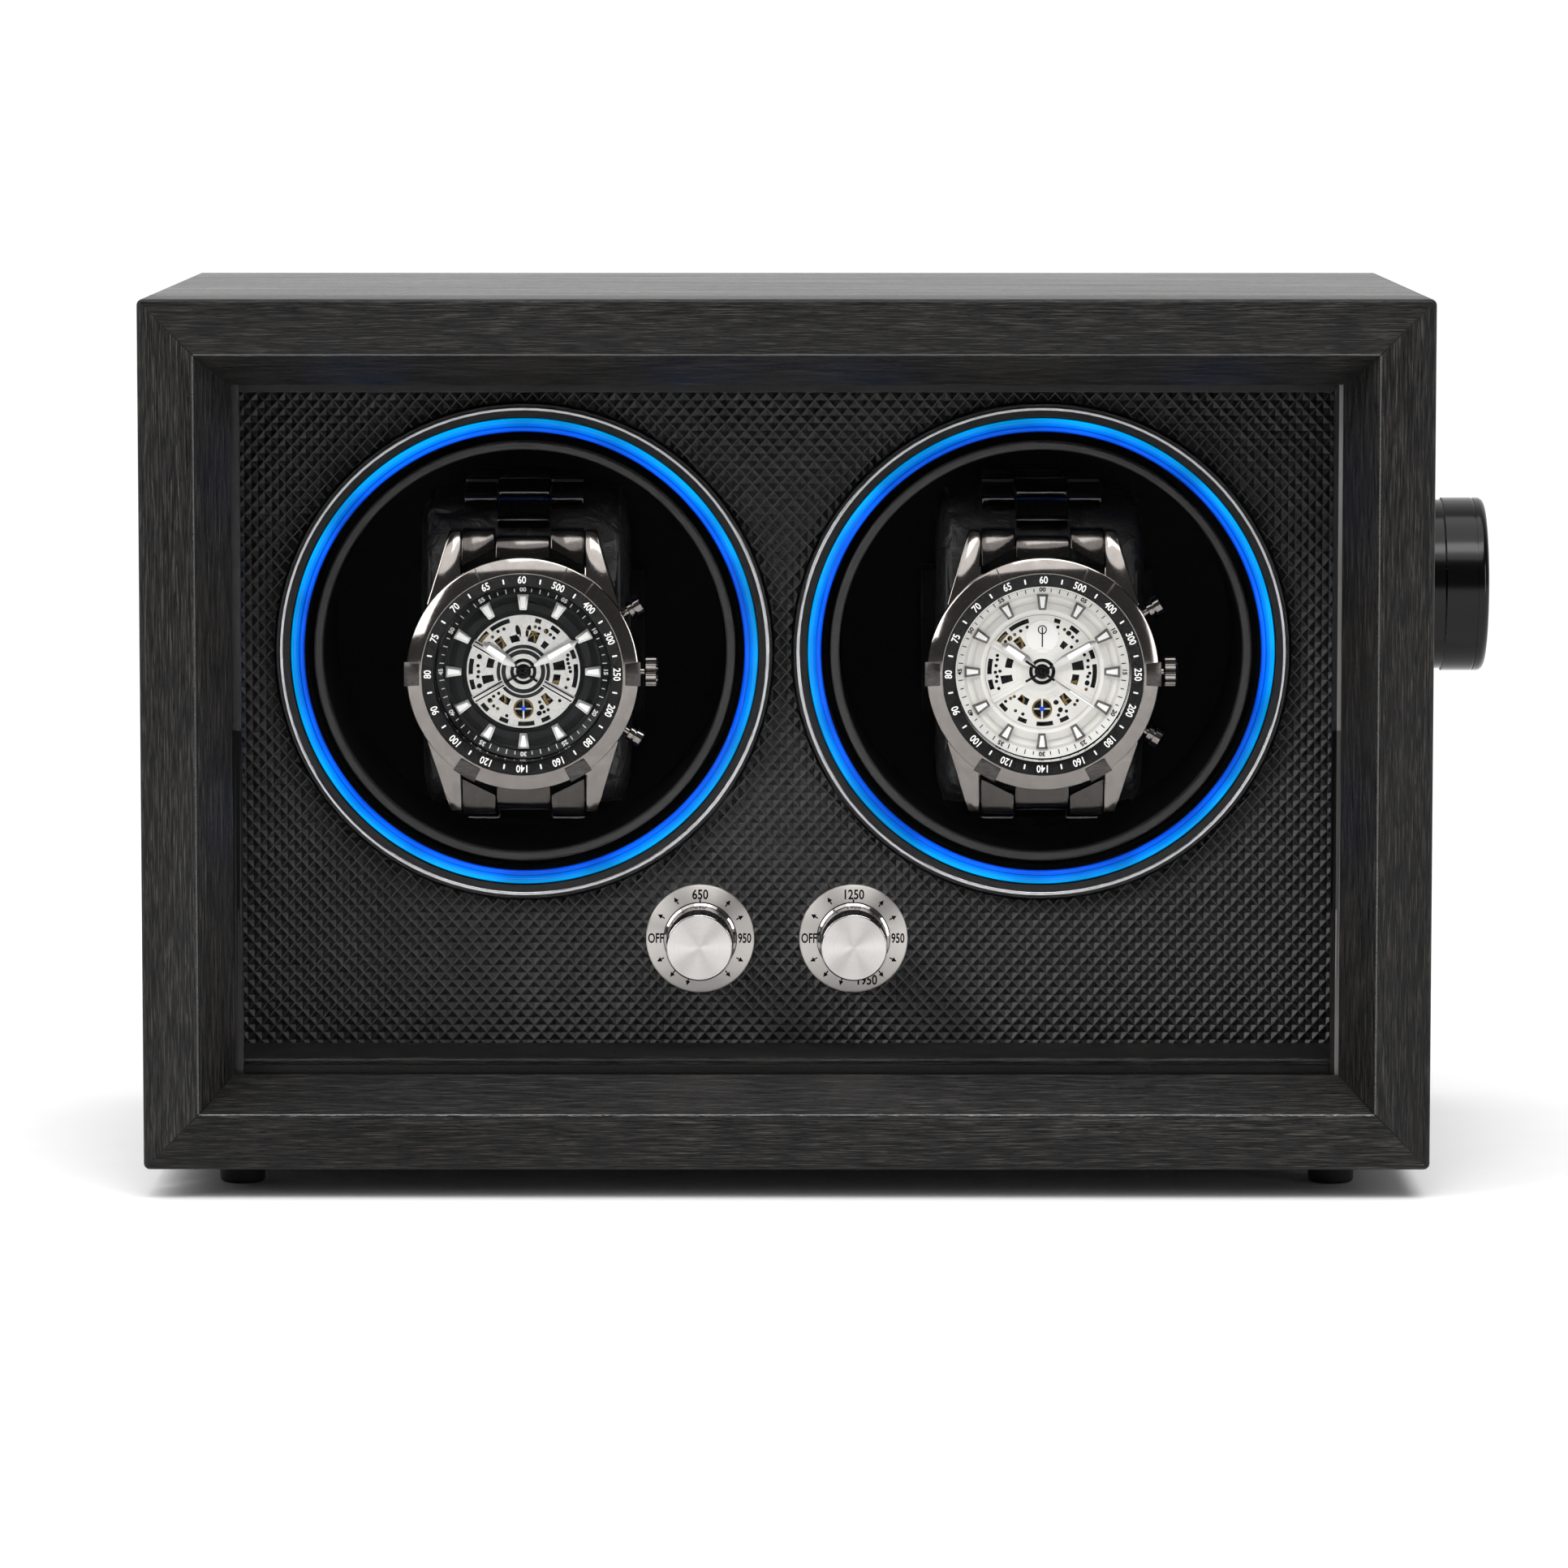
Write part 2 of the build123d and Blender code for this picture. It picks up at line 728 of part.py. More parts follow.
with BuildPart() as door_rails:
    add(door_blank)
    with BuildSketch(facing(door_back, 0, middle_z)):
        Polygon(*upper_wedge, align=None)
        Polygon(*lower_wedge, align=None)
    extrude(amount=door_thickness, mode=Mode.INTERSECT)

with BuildPart() as door_stiles:
    add(door_blank)
    with BuildSketch(facing(door_back, 0, middle_z)):
        Polygon(*left_wedge, align=None)
        Polygon(*right_wedge, align=None)
    extrude(amount=door_thickness, mode=Mode.INTERSECT)

with BuildPart() as door_window:
    with BuildSketch(facing(window_back, 0, middle_z)):
        Rectangle(rebate_w - slip, rebate_h - slip)
    extrude(amount=window_thickness)

with BuildPart() as window_beads:
    with BuildSketch(facing(window_back + bead_thickness, 0, middle_z)):
        Rectangle(rebate_w - slip, rebate_h - slip)
        Rectangle(rebate_w - slip - 2 * bead_width, rebate_h - slip - 2 * bead_width, mode=Mode.SUBTRACT)
    extrude(amount=bead_thickness)

# ---- hinges ----
knuckle_length = (hinge_length - 2 * knuckle_gap) / 3
middle_low = -knuckle_length / 2
outer_lows = [-hinge_length / 2, hinge_length / 2 - knuckle_length]


def hinge_leaves(own_lows, other_lows, leaf_y, leaf_align, bore):
    """Both hinges' leaves on one side of the gap, each with the knuckles that start at own_lows."""
    with BuildPart() as leaves:
        for z in hinge_zs:
            with BuildSketch(level(z - hinge_length / 2, hinge_x, leaf_y)):
                Rectangle(leaf_reach, leaf_thickness, align=(Align.MIN, leaf_align))
            extrude(amount=hinge_length)
            with BuildSketch(*[level(z + low - knuckle_gap, hinge_x, hinge_y) for low in other_lows]):
                Circle(knuckle_clear)
            extrude(amount=knuckle_length + 2 * knuckle_gap, mode=Mode.SUBTRACT)
            with BuildSketch(*[level(z + low, hinge_x, hinge_y) for low in own_lows]):
                Circle(knuckle_radius)
            extrude(amount=knuckle_length)
            with BuildSketch(level(z - hinge_length / 2, hinge_x, hinge_y)):
                Circle(bore)
            extrude(amount=hinge_length, mode=Mode.SUBTRACT)
    return leaves


pin_play = hinge_pin_radius + running
pin_fit = hinge_pin_radius + running / 2
hinge_case_leaves = hinge_leaves([middle_low], outer_lows, box_front, Align.MIN, pin_play)
hinge_door_leaves = hinge_leaves(outer_lows, [middle_low], door_back, Align.MAX, pin_fit)

with BuildPart() as hinge_pins:
    with BuildSketch(*[level(z - hinge_length / 2, hinge_x, hinge_y) for z in hinge_zs]):
        Circle(hinge_pin_radius)
    extrude(amount=hinge_length)

# ---- magnetic catch ----
with BuildPart() as catch_magnets:
    with BuildSketch(*[facing(box_front + magnet_thickness, catch_x, z) for z in catch_zs]):
        Circle(magnet_radius - running)
    extrude(amount=magnet_thickness)

with BuildPart() as catch_plates:
    with BuildSketch(*[facing(door_back, catch_x, z) for z in catch_zs]):
        Circle(magnet_radius - running)
    extrude(amount=catch_plate_thickness)

# ---- rotor cups, rims, cushions ----
cushion_height = 2 * (cup_radius - cup_wall - cushion_end_gap)
cushion_front = leather_front - cushion_proud
cushion_back = cushion_front + cushion_depth
cheek_gap = 0.3
cheek_thickness = 2.5
cheek_height = 28.0
cheek_reach = 24.0


def rotor_cup(x):
    """A cup with a cradle for the cushion on its floor and a spindle behind."""
    with BuildPart() as cup:
        with BuildSketch(facing(cup_back, x, rotor_z)):
            Circle(cup_radius)
        extrude(amount=cup_depth - rim_thickness)
        with BuildSketch(facing(cup_back - cup_floor, x, rotor_z)):
            Circle(cup_radius - cup_wall)
        extrude(amount=cup_depth, mode=Mode.SUBTRACT)
        with BuildSketch(facing(cup_back - cup_floor, x, rotor_z)):
            for side in (-1, 1):
                with Locations((side * (cushion_width / 2 + cheek_gap + cheek_thickness / 2), 0)):
                    Rectangle(cheek_thickness, cheek_height)
        extrude(amount=cheek_reach)
        with BuildSketch(facing(shroud_back + spindle_depth - spindle_tip_gap, x, rotor_z)):
            Circle(spindle_radius)
        extrude(amount=shroud_back + spindle_depth - spindle_tip_gap - cup_back)
    return cup


def rotor_rim(x):
    """The trim ring on the cup's front edge."""
    with BuildPart() as rim_ring:
        with BuildSketch(facing(cup_front + rim_thickness, x, rotor_z)):
            Circle(cup_radius + rim_lap)
            Circle(cup_radius - cup_wall, mode=Mode.SUBTRACT)
        extrude(amount=rim_thickness)
        fillet(rim_ring.edges().filter_by(GeomType.CIRCLE).group_by(Axis.Y)[0], rim_round)
    return rim_ring


def cushion(x):
    """A soft block that the watch is strapped round, with rounded edges at its sides."""
    with BuildPart() as pad:
        with BuildSketch(sideways(x - cushion_width / 2, cushion_front + cushion_depth / 2, rotor_z)):
            RectangleRounded(cushion_depth, cushion_height, cushion_round)
        extrude(amount=cushion_width)
        fillet(pad.faces().sort_by(Axis.X)[0].outer_wire().edges(), cushion_edge)
        fillet(pad.faces().sort_by(Axis.X)[-1].outer_wire().edges(), cushion_edge)
    return pad


# ---- watches ----
watch_back = cushion_front - strap_gap
case_front = watch_back - watch_case_thickness
bezel_front = case_front - bezel_thickness
case_mid_y = watch_back - stem_height
case_radius = watch_radius - bezel_lap
dial_radius = watch_radius - bezel_width
dial_opening = dial_radius - chapter_width
bridge_length = 2 * (dial_opening + bridge_lap)
index_radius = dial_radius - index_inset
stem_end = dial_radius + stem_gap
lug_reach = watch_radius + lug_overhang
lug_root = case_radius - lug_overlap
lug_knee = case_radius - lug_knee_inset
dial_back = watch_back - dial_height
dial_front = dial_back - dial_plate - dial_relief
watch_z = rotor_z - watch_drop


def pusher_plane(x, angle):
    """A plane across a pusher's line, at the watch's centre, that looks outwards along it."""
    a = radians(angle)
    return Plane(
        origin=(case_x + x, case_mid_y, watch_z),
        x_dir=(0, 1, 0),
        z_dir=(cos(a), 0, sin(a)),
    )


def watch_case(x):
    """The steel middle case with four lugs, open at the front for the dial."""
    with BuildPart() as body:
        with BuildSketch(facing(watch_back, x, watch_z)):
            Circle(case_radius)
        extrude(amount=watch_case_thickness)
        for side in (-1, 1):
            lug_x = x + side * (lug_spread / 2) - (lug_width if side > 0 else 0)
            for end in (-1, 1):
                with BuildSketch(sideways(lug_x, 0, watch_z)):
                    Polygon(
                        (case_front + 0.07 * watch_case_thickness, end * lug_root),
                        (case_front + 0.19 * watch_case_thickness, end * lug_knee),
                        (case_front + 0.47 * watch_case_thickness, end * (lug_reach - lug_nose)),
                        (watch_back - 0.21 * watch_case_thickness, end * lug_reach),
                        (watch_back - lug_lift, end * (lug_reach - lug_nose / 2)),
                        (watch_back - lug_lift, end * lug_root),
                        align=None,
                    )
                extrude(amount=lug_width)
        with BuildSketch(facing(dial_back, x, watch_z)):
            Circle(dial_radius + dial_fit)
        extrude(amount=watch_case_thickness, mode=Mode.SUBTRACT)
        with BuildSketch(pusher_plane(x, 0)):
            Circle(stem_radius + running)
        extrude(amount=watch_radius, mode=Mode.SUBTRACT)
        with BuildSketch(pusher_plane(x, pusher_angle), pusher_plane(x, -pusher_angle)):
            Circle(stem_radius + running)
        extrude(amount=watch_radius, mode=Mode.SUBTRACT)
    return body


def watch_bezel(x):
    """The bezel ring with its sloped scale."""
    with BuildPart() as ring_part:
        with BuildSketch(facing(case_front, x, watch_z)):
            Circle(watch_radius)
            Circle(dial_radius - bezel_seat, mode=Mode.SUBTRACT)
        extrude(amount=bezel_thickness)
        front_edges = ring_part.edges().filter_by(GeomType.CIRCLE).group_by(Axis.Y)[0]
        chamfer(front_edges.sort_by(SortBy.RADIUS)[-1], bezel_chamfer)
    return ring_part


def watch_crystal(x):
    """The glass disc in the bezel."""
    with BuildPart() as glass:
        with BuildSketch(facing(bezel_front + crystal_sink, x, watch_z)):
            Circle(dial_radius - crystal_inset)
        extrude(amount=crystal_thickness)
    return glass


def watch_dial(x):
    """Chapter ring over an open-worked main plate, with crossed bridges and a post for the hands."""
    with BuildPart() as dial:
        with BuildSketch(facing(dial_back, x, watch_z)):
            Circle(dial_radius)
        extrude(amount=dial_plate)
        with BuildSketch(facing(dial_back - dial_plate, x, watch_z)):
            Circle(dial_radius)
            Circle(dial_opening, mode=Mode.SUBTRACT)
        extrude(amount=dial_relief)
        with BuildSketch(facing(dial_back - dial_plate, x, watch_z)):
            Rectangle(bridge_length, bridge_width, rotation=45)
            Rectangle(bridge_length, bridge_width, rotation=-45)
            Circle(hub_radius)
        extrude(amount=bridge_height)
        with BuildSketch(facing(dial_back - dial_plate, x, watch_z)):
            for hour in range(12):
                turn = hour * pi / 6
                with Locations((index_radius * sin(turn), index_radius * cos(turn))):
                    Rectangle(index_width, index_length, rotation=-hour * 30)
        extrude(amount=index_height)
        with BuildSketch(facing(dial_back - dial_plate, x, watch_z)):
            Circle(post_radius)
        extrude(amount=post_height)
    return dial


def watch_hand(x, lift, length, tail, width, angle):
    """A hand on the centre post, its tip at the clock angle given."""
    with BuildPart() as hand:
        with BuildSketch(facing(dial_front - lift, x, watch_z)):
            Circle(hand_boss * width)
            with Locations(Rot(0, 0, -angle)):
                Polygon(
                    (-hand_tail * width, -tail),
                    (hand_tail * width, -tail),
                    (width / 2, hand_shoulder * length),
                    (0, length),
                    (-width / 2, hand_shoulder * length),
                    align=None,
                )
            Circle(post_radius + running, mode=Mode.SUBTRACT)
        extrude(amount=hand_thickness)
    return hand


def watch_crown(x):
    """The winding crown with its stem."""
    with BuildPart() as crown:
        with BuildSketch(pusher_plane(x, 0).offset(watch_radius + crown_gap)):
            Circle(crown_radius)
            with PolarLocations(crown_radius, crown_flutes):
                Circle(flute_radius, mode=Mode.SUBTRACT)
        extrude(amount=crown_length)
        with BuildSketch(pusher_plane(x, 0).offset(stem_end)):
            Circle(stem_radius)
        extrude(amount=watch_radius + crown_gap - stem_end)
    return crown


pusher_seat = watch_radius + pusher_travel + body_clearance


def watch_pusher(x, angle):
    """A push button on its stem; it sinks by its travel towards the watch's centre."""
    with BuildPart() as pusher:
        with BuildSketch(pusher_plane(x, angle).offset(pusher_seat)):
            Circle(pusher_radius)
        extrude(amount=pusher_length)
        with BuildSketch(pusher_plane(x, angle).offset(stem_end + pusher_travel)):
            Circle(stem_radius)
        extrude(amount=pusher_seat - stem_end - pusher_travel)
        cap_edge = pusher.edges().filter_by(GeomType.CIRCLE).sort_by(Axis.X)[-1]
        chamfer(cap_edge, pusher_chamfer)
    return pusher


loop_y0 = cushion_front - strap_gap - link_thickness / 2
loop_y1 = cushion_back + strap_gap + link_thickness / 2
loop_half = cushion_height / 2 + strap_gap + link_thickness / 2
loop_round = cushion_round + strap_gap + link_thickness / 2
link_gap = 0.15
end_piece_length = 6.4
end_piece_overlap = 0.9
end_piece_gap = 1.2
end_piece_extra = 1.6
end_piece_z = case_radius - end_piece_overlap
loop_start = end_piece_z + end_piece_length / 2 + end_piece_gap
front_flat = loop_half - loop_round
quarter = loop_round * pi / 2
top_flat = loop_y1 - loop_y0 - 2 * loop_round
half_loop = 2 * front_flat + 2 * quarter + top_flat


def loop_point(travel):
    """Depth, height and outward angle of the bracelet's middle line, travel mm up from the watch's middle."""
    if travel < front_flat:
        return loop_y0, travel, pi
    travel -= front_flat
    if travel < quarter:
        turn = travel / loop_round
        return loop_y0 + loop_round * (1 - cos(turn)), front_flat + loop_round * sin(turn), pi - turn
    travel -= quarter
    if travel < top_flat:
        return loop_y0 + loop_round + travel, loop_half, pi / 2
    travel -= top_flat
    if travel < quarter:
        turn = travel / loop_round
        depth = loop_y1 - loop_round + loop_round * sin(turn)
        return depth, front_flat + loop_round * cos(turn), pi / 2 - turn
    travel -= quarter
    return loop_y1, front_flat - travel, 0.0


def bracelet(x):
    """Rows of links all round the cushion, and an end piece between each pair of lugs."""
    run = half_loop - loop_start
    pitch = run / (link_count / 2)
    inner_round = loop_round - link_thickness / 2
    half_turn = pitch / loop_round / 2
    link_length = 2 * inner_round * sin(half_turn) / cos(half_turn) - link_gap
    with BuildPart() as band:
        for end in (-1, 1):
            for n in range(link_count // 2):
                depth, rise, out = loop_point(loop_start + pitch * (n + 0.5))
                link_plane = Plane(
                    origin=(case_x + x, depth, rotor_z + end * rise),
                    x_dir=(1, 0, 0),
                    z_dir=(0, cos(out), end * sin(out)),
                )
                with BuildSketch(link_plane.offset(-link_thickness / 2)):
                    Rectangle(bracelet_width - bracelet_taper * n, link_length)
                extrude(amount=link_thickness)
        for end in (-1, 1):
            with BuildSketch(facing(watch_back - strap_gap, x, watch_z)):
                with Locations((0, end * end_piece_z)):
                    Rectangle(lug_spread - 2 * lug_width - 2 * slip, end_piece_length)
                Circle(case_radius + link_gap, mode=Mode.SUBTRACT)
            extrude(amount=link_thickness + end_piece_extra)
    return band


rotor_left_cup = rotor_cup(rotor_xs[0])
rotor_right_cup = rotor_cup(rotor_xs[1])
rotor_left_rim = rotor_rim(rotor_xs[0])
rotor_right_rim = rotor_rim(rotor_xs[1])
cushion_left = cushion(rotor_xs[0])
cushion_right = cushion(rotor_xs[1])

left_x = rotor_xs[0]
right_x = rotor_xs[1]
# hands: lift above the dial, length, tail, width and clock angle
hour_hand = (0.8, dial_opening - hour_hand_inset, 2.4, 2.0, 305.0)
minute_hand = (1.4, index_radius - minute_hand_inset, 2.8, 1.7, 60.0)
seconds_hand = (2.0, index_radius - seconds_hand_inset, 4.0, 0.7, 124.0)

pieces = {
    "case_top_board": case_top_board,
    "case_bottom_board": case_bottom_board,
    "case_sides": case_sides,
    "rear_panel": rear_panel,
    "rear_panel_screws": rear_panel_screws,
    "rubber_feet": rubber_feet,
    "recess_liner": recess_liner,
    "front_panel": front_panel,
    "panel_leather": panel_leather,
    "light_bezels": light_bezels,
    "chrome_rings": chrome_rings,
    "light_guides": light_guides,
    "led_boards": led_boards,
    "drum_housings": drum_housings,
    "gear_motors": gear_motors,
    "dial_plates": dial_plates,
    "rotary_switches": rotary_switches,
    "control_board": control_board,
    "dc_jack": dc_jack,
    "light_dimmer": light_dimmer,
    "light_knob_collar": light_knob_collar,
    "light_knob": light_knob,
    "speed_knob_left": speed_knob_left,
    "speed_knob_right": speed_knob_right,
    "door_rails": door_rails,
    "door_stiles": door_stiles,
    "door_window": door_window,
    "window_beads": window_beads,
    "hinge_case_leaves": hinge_case_leaves,
    "hinge_door_leaves": hinge_door_leaves,
    "hinge_pins": hinge_pins,
    "catch_magnets": catch_magnets,
    "catch_plates": catch_plates,
    "rotor_left_cup": rotor_left_cup,
    "rotor_left_rim": rotor_left_rim,
    "cushion_left": cushion_left,
    "rotor_right_cup": rotor_right_cup,
    "rotor_right_rim": rotor_right_rim,
    "cushion_right": cushion_right,
    "watch_right_seconds_hand": watch_hand(right_x, *seconds_hand),
}
for hand, x in (("left", left_x), ("right", right_x)):
    pieces[f"watch_{hand}_case"] = watch_case(x)
    pieces[f"watch_{hand}_bezel"] = watch_bezel(x)
    pieces[f"watch_{hand}_crystal"] = watch_crystal(x)
    pieces[f"watch_{hand}_dial"] = watch_dial(x)
    pieces[f"watch_{hand}_hour_hand"] = watch_hand(x, *hour_hand)
    pieces[f"watch_{hand}_minute_hand"] = watch_hand(x, *minute_hand)
    pieces[f"watch_{hand}_crown"] = watch_crown(x)
    pieces[f"watch_{hand}_pusher_upper"] = watch_pusher(x, pusher_angle)
    pieces[f"watch_{hand}_pusher_lower"] = watch_pusher(x, -pusher_angle)
    pieces[f"watch_{hand}_bracelet"] = bracelet(x)

for node, piece in pieces.items():
    piece.part.label = node
    export_step(piece.part, f"parts/{node}.step")
print(len(pieces), "pieces written")
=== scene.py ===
# %% [markdown]
# # Twin watch winder box
# A black wooden box turns two automatic watches on their cushions so that they stay wound. The rigid
# model comes in as a finished frame, in metres, at rest. This script dresses it: finishes for every
# board, metal and plastic, an embossed leather panel, stuffed cushions, two detailed watches, the stage,
# the lights and the camera.

# %% Load the frame
import json
import random
from math import atan2, cos, pi, radians, sin, sqrt

import bmesh
import bpy
from mathutils import Matrix, Vector


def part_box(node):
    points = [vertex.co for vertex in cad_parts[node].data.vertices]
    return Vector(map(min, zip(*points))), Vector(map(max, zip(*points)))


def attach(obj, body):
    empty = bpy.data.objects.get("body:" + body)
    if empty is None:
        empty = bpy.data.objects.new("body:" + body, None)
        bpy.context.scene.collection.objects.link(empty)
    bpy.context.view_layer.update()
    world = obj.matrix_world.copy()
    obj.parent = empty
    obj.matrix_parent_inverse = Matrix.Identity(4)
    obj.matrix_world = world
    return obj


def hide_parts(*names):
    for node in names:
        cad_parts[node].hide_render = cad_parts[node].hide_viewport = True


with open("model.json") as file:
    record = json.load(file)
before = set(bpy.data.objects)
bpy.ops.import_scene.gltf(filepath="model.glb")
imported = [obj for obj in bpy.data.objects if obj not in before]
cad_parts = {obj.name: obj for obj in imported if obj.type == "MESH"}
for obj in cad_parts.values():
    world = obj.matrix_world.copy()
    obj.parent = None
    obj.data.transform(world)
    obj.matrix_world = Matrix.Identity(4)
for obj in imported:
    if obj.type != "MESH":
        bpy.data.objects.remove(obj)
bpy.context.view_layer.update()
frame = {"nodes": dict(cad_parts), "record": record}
MM = 0.001

# %% [markdown]
# ## Helpers for finishes
# A colour is written as the hex value a paint chart would give and turned to linear light once, here. A
# finish is a small graph of nodes, so one function adds a node with its settings and links.

# %% Colour and node helpers


def paint(code):
    """An sRGB hex colour as linear RGBA."""
    parts = [int(code[i : i + 2], 16) / 255 for i in (1, 3, 5)]
    return (*[c / 12.92 if c <= 0.04045 else ((c + 0.055) / 1.055) ** 2.4 for c in parts], 1.0)


def new_finish(name):
    """An empty material and its node tree."""
    made = bpy.data.materials.new(name)
    made.use_nodes = True
    made.node_tree.nodes.clear()
    return made, made.node_tree


def add(tree, kind, inputs=None, **settings):
    """Adds one node. A socket in inputs takes a value or another node's output."""
    made = tree.nodes.new("ShaderNode" + kind)
    for key, value in settings.items():
        setattr(made, key, value)
    for key, value in (inputs or {}).items():
        if isinstance(value, bpy.types.NodeSocket):
            tree.links.new(value, made.inputs[key])
        else:
            made.inputs[key].default_value = value
    return made


def ramp(tree, factor, stops):
    """A colour ramp over factor; stops are (position, hex colour)."""
    made = add(tree, "ValToRGB", {"Fac": factor})
    line = made.color_ramp.elements
    while len(line) < len(stops):
        line.new(0.5)
    for element, (position, code) in zip(line, stops):
        element.position = position
        element.color = paint(code)
    return made


def spots(tree, scale=(1, 1, 1)):
    """Object coordinates scaled to pattern cells, as an output socket."""
    place = add(tree, "TexCoord")
    return add(tree, "Mapping", {"Vector": place.outputs["Object"], "Scale": scale}).outputs[0]


# %% [markdown]
# ## Black-stained wood
# The case is open-grained wood, such as ash, stained and lacquered near black with a satin sheen. Long
# soft streaks run with the grain, and short dark pores catch less light than the lacquer round them. Both
# come from noise that is stretched along the grain: streaks about a quarter of a millimetre across and 7
# to 8 mm long, pores 0.2 mm across and 3 mm long. Rails and stiles need the grain in different
# directions, so the function takes the grain's axis. The top board is polished further than the rest, and
# so it mirrors the room more. It is mostly seen at a flat slant, where such thin streaks blur into
# nothing, so its streaks are drawn 1.5 mm across, wider than the real ones.

# %% Wood finishes
STREAK_MM = (0.27, 7.5)
PORE_MM = (0.18, 3.0)
TOP_STREAK_MM = (1.5, 45.0)
BOARD_MM = (30.0, 180.0)


def grain_scale(size_mm, grain):
    """Mapping scale for a pattern of (across, along) millimetres whose grain follows one axis."""
    scale = [1 / (size_mm[0] * MM)] * 3
    scale[grain] = 1 / (size_mm[1] * MM)
    return scale


def stained_wood(
    name, grain, polish=0.18, rough_from=0.3, rough_to=0.44, relief_mm=0.1, streak_mm=STREAK_MM
):
    """Black open-grain wood, its grain along axis 0, 1 or 2; polish is how strongly the lacquer mirrors."""
    finish, tree = new_finish(name)
    streaks = add(
        tree,
        "TexNoise",
        {
            "Vector": spots(tree, grain_scale(streak_mm, grain)), "Scale": 1.0, "Detail": 4.0,
            "Roughness": 0.6
        }
    )
    pores = add(
        tree, "TexNoise", {"Vector": spots(tree, grain_scale(PORE_MM, grain)), "Scale": 1.0, "Detail": 1.0}
    )
    boards = add(
        tree, "TexNoise", {"Vector": spots(tree, grain_scale(BOARD_MM, grain)), "Scale": 1.0, "Detail": 2.0}
    )
    tone = ramp(
        tree,
        streaks.outputs["Fac"],
        [(0.32, "#0c0b0b"), (0.45, "#1b1a1a"), (0.55, "#282726"), (0.68, "#474441")]
    )
    shade = ramp(tree, boards.outputs["Fac"], [(0.35, "#c4c2c0"), (0.65, "#ffffff")])
    open_pore = ramp(tree, pores.outputs["Fac"], [(0.36, "#000000"), (0.46, "#ffffff")])
    stained = add(
        tree,
        "Mix",
        {"Factor": 1.0, "A": tone.outputs[0], "B": shade.outputs[0]},
        data_type="RGBA",
        blend_type="MULTIPLY"
    )
    coloured = add(
        tree,
        "Mix",
        {"Factor": 0.7, "A": stained.outputs["Result"], "B": open_pore.outputs[0]},
        data_type="RGBA",
        blend_type="MULTIPLY"
    )
    rough = add(tree, "MapRange", {"Value": streaks.outputs["Fac"], "From Min": 0.3, "From Max": 0.7,
        "To Min": rough_from, "To Max": rough_to})
    relief = add(tree, "Math", {0: streaks.outputs["Fac"], 1: open_pore.outputs[0]}, operation="MULTIPLY")
    bump = add(tree, "Bump", {"Height": relief.outputs[0], "Strength": 0.5, "Distance": relief_mm * MM})
    shader = add(
        tree,
        "BsdfPrincipled",
        {
            "Base Color": coloured.outputs["Result"], "Roughness": rough.outputs[0],
            "Normal": bump.outputs[0], "IOR": 1.5, "Specular IOR Level": polish
        }
    )
    add(tree, "OutputMaterial", {"Surface": shader.outputs[0]})
    return finish


wood_level = stained_wood("stained_ash_grain_across", 0)
wood_polished = stained_wood("polished_ash_top", 0, 0.8, 0.2, 0.46, 0.3, TOP_STREAK_MM)
wood_arris = stained_wood("burnished_ash_arris", 0, 1.0, 0.12, 0.2)
wood_upright = stained_wood("stained_ash_grain_up", 2)
print("wood finishes:", wood_level.name, wood_upright.name)

# %% [markdown]
# ## Embossed and smooth leather
# The panel skin is split leather with a polyurethane film, pressed between heated plates: black, slightly
# glossy on the crests, with a fine pebble of about 0.3 mm. The crests are also painted a lighter grey, a
# painted highlight for the light they catch. The cushions wear a softer, thinner leather whose creases run
# in soft folds about 5 mm apart. Voronoi cells make the pebble and distorted noise the folds.

# %% Leather finishes


def black_leather(name, pebble_mm, fold_mm, fold_height, gloss, shade, polish=0.45):
    """Black leather with a pebble and soft folds."""
    finish, tree = new_finish(name)
    pebble = add(
        tree, "TexVoronoi", {"Vector": spots(tree), "Scale": 1 / (pebble_mm * MM)},
        feature="DISTANCE_TO_EDGE"
    )
    wear = add(tree, "TexNoise", {"Vector": spots(tree), "Scale": 1 / (9 * MM), "Detail": 4.0})
    folds = add(
        tree,
        "TexNoise",
        {"Vector": spots(tree), "Scale": 1 / (fold_mm * MM), "Detail": 4.0, "Distortion": 1.6}
    )
    tone = ramp(tree, wear.outputs["Fac"], [(0.3, shade[0]), (0.7, shade[1])])
    rough = add(
        tree, "MapRange", {"Value": wear.outputs["Fac"], "To Min": gloss - 0.07, "To Max": gloss + 0.1}
    )
    fine = add(tree, "Bump", {"Height": pebble.outputs["Distance"], "Strength": 0.5, "Distance": 0.04 * MM})
    deep = add(
        tree,
        "Bump",
        {
            "Height": folds.outputs["Fac"], "Strength": 0.8, "Distance": fold_height * MM,
            "Normal": fine.outputs[0]
        }
    )
    shader = add(tree, "BsdfPrincipled", {
        "Base Color": tone.outputs[0], "Roughness": rough.outputs[0], "Normal": deep.outputs[0], "IOR": 1.5,
        "Specular IOR Level": polish})
    add(tree, "OutputMaterial", {"Surface": shader.outputs[0]})
    return finish


panel_hide = black_leather("pressed_black_leather", 0.3, 3.0, 0.02, 0.33, ("#0a0a0a", "#101010"), 0.9)
# The crests' lighter grey is a painted highlight for the light they catch.
crest_painted_highlight = black_leather("leather_crest_painted_highlight", 0.3, 3.0, 0.01, 0.3, ("#1a1a1a", "#222222"))
cushion_hide = black_leather("soft_black_leather", 0.5, 5.0, 1.0, 0.4, ("#0b0b0b", "#161616"))
seam_thread = black_leather("waxed_black_thread", 0.3, 2.0, 0.05, 0.5, ("#161616", "#202020"))
print("leathers:", panel_hide.name, cushion_hide.name)

# %% [markdown]
# ## Plastics, rubber and painted board
# Moulded ABS carries a very fine spark-eroded texture, gloss parts only faint waviness. Rubber scatters
# light widely. One function covers them: a tone that drifts a little, and a grain of a stated size.

# %% Plastic finishes


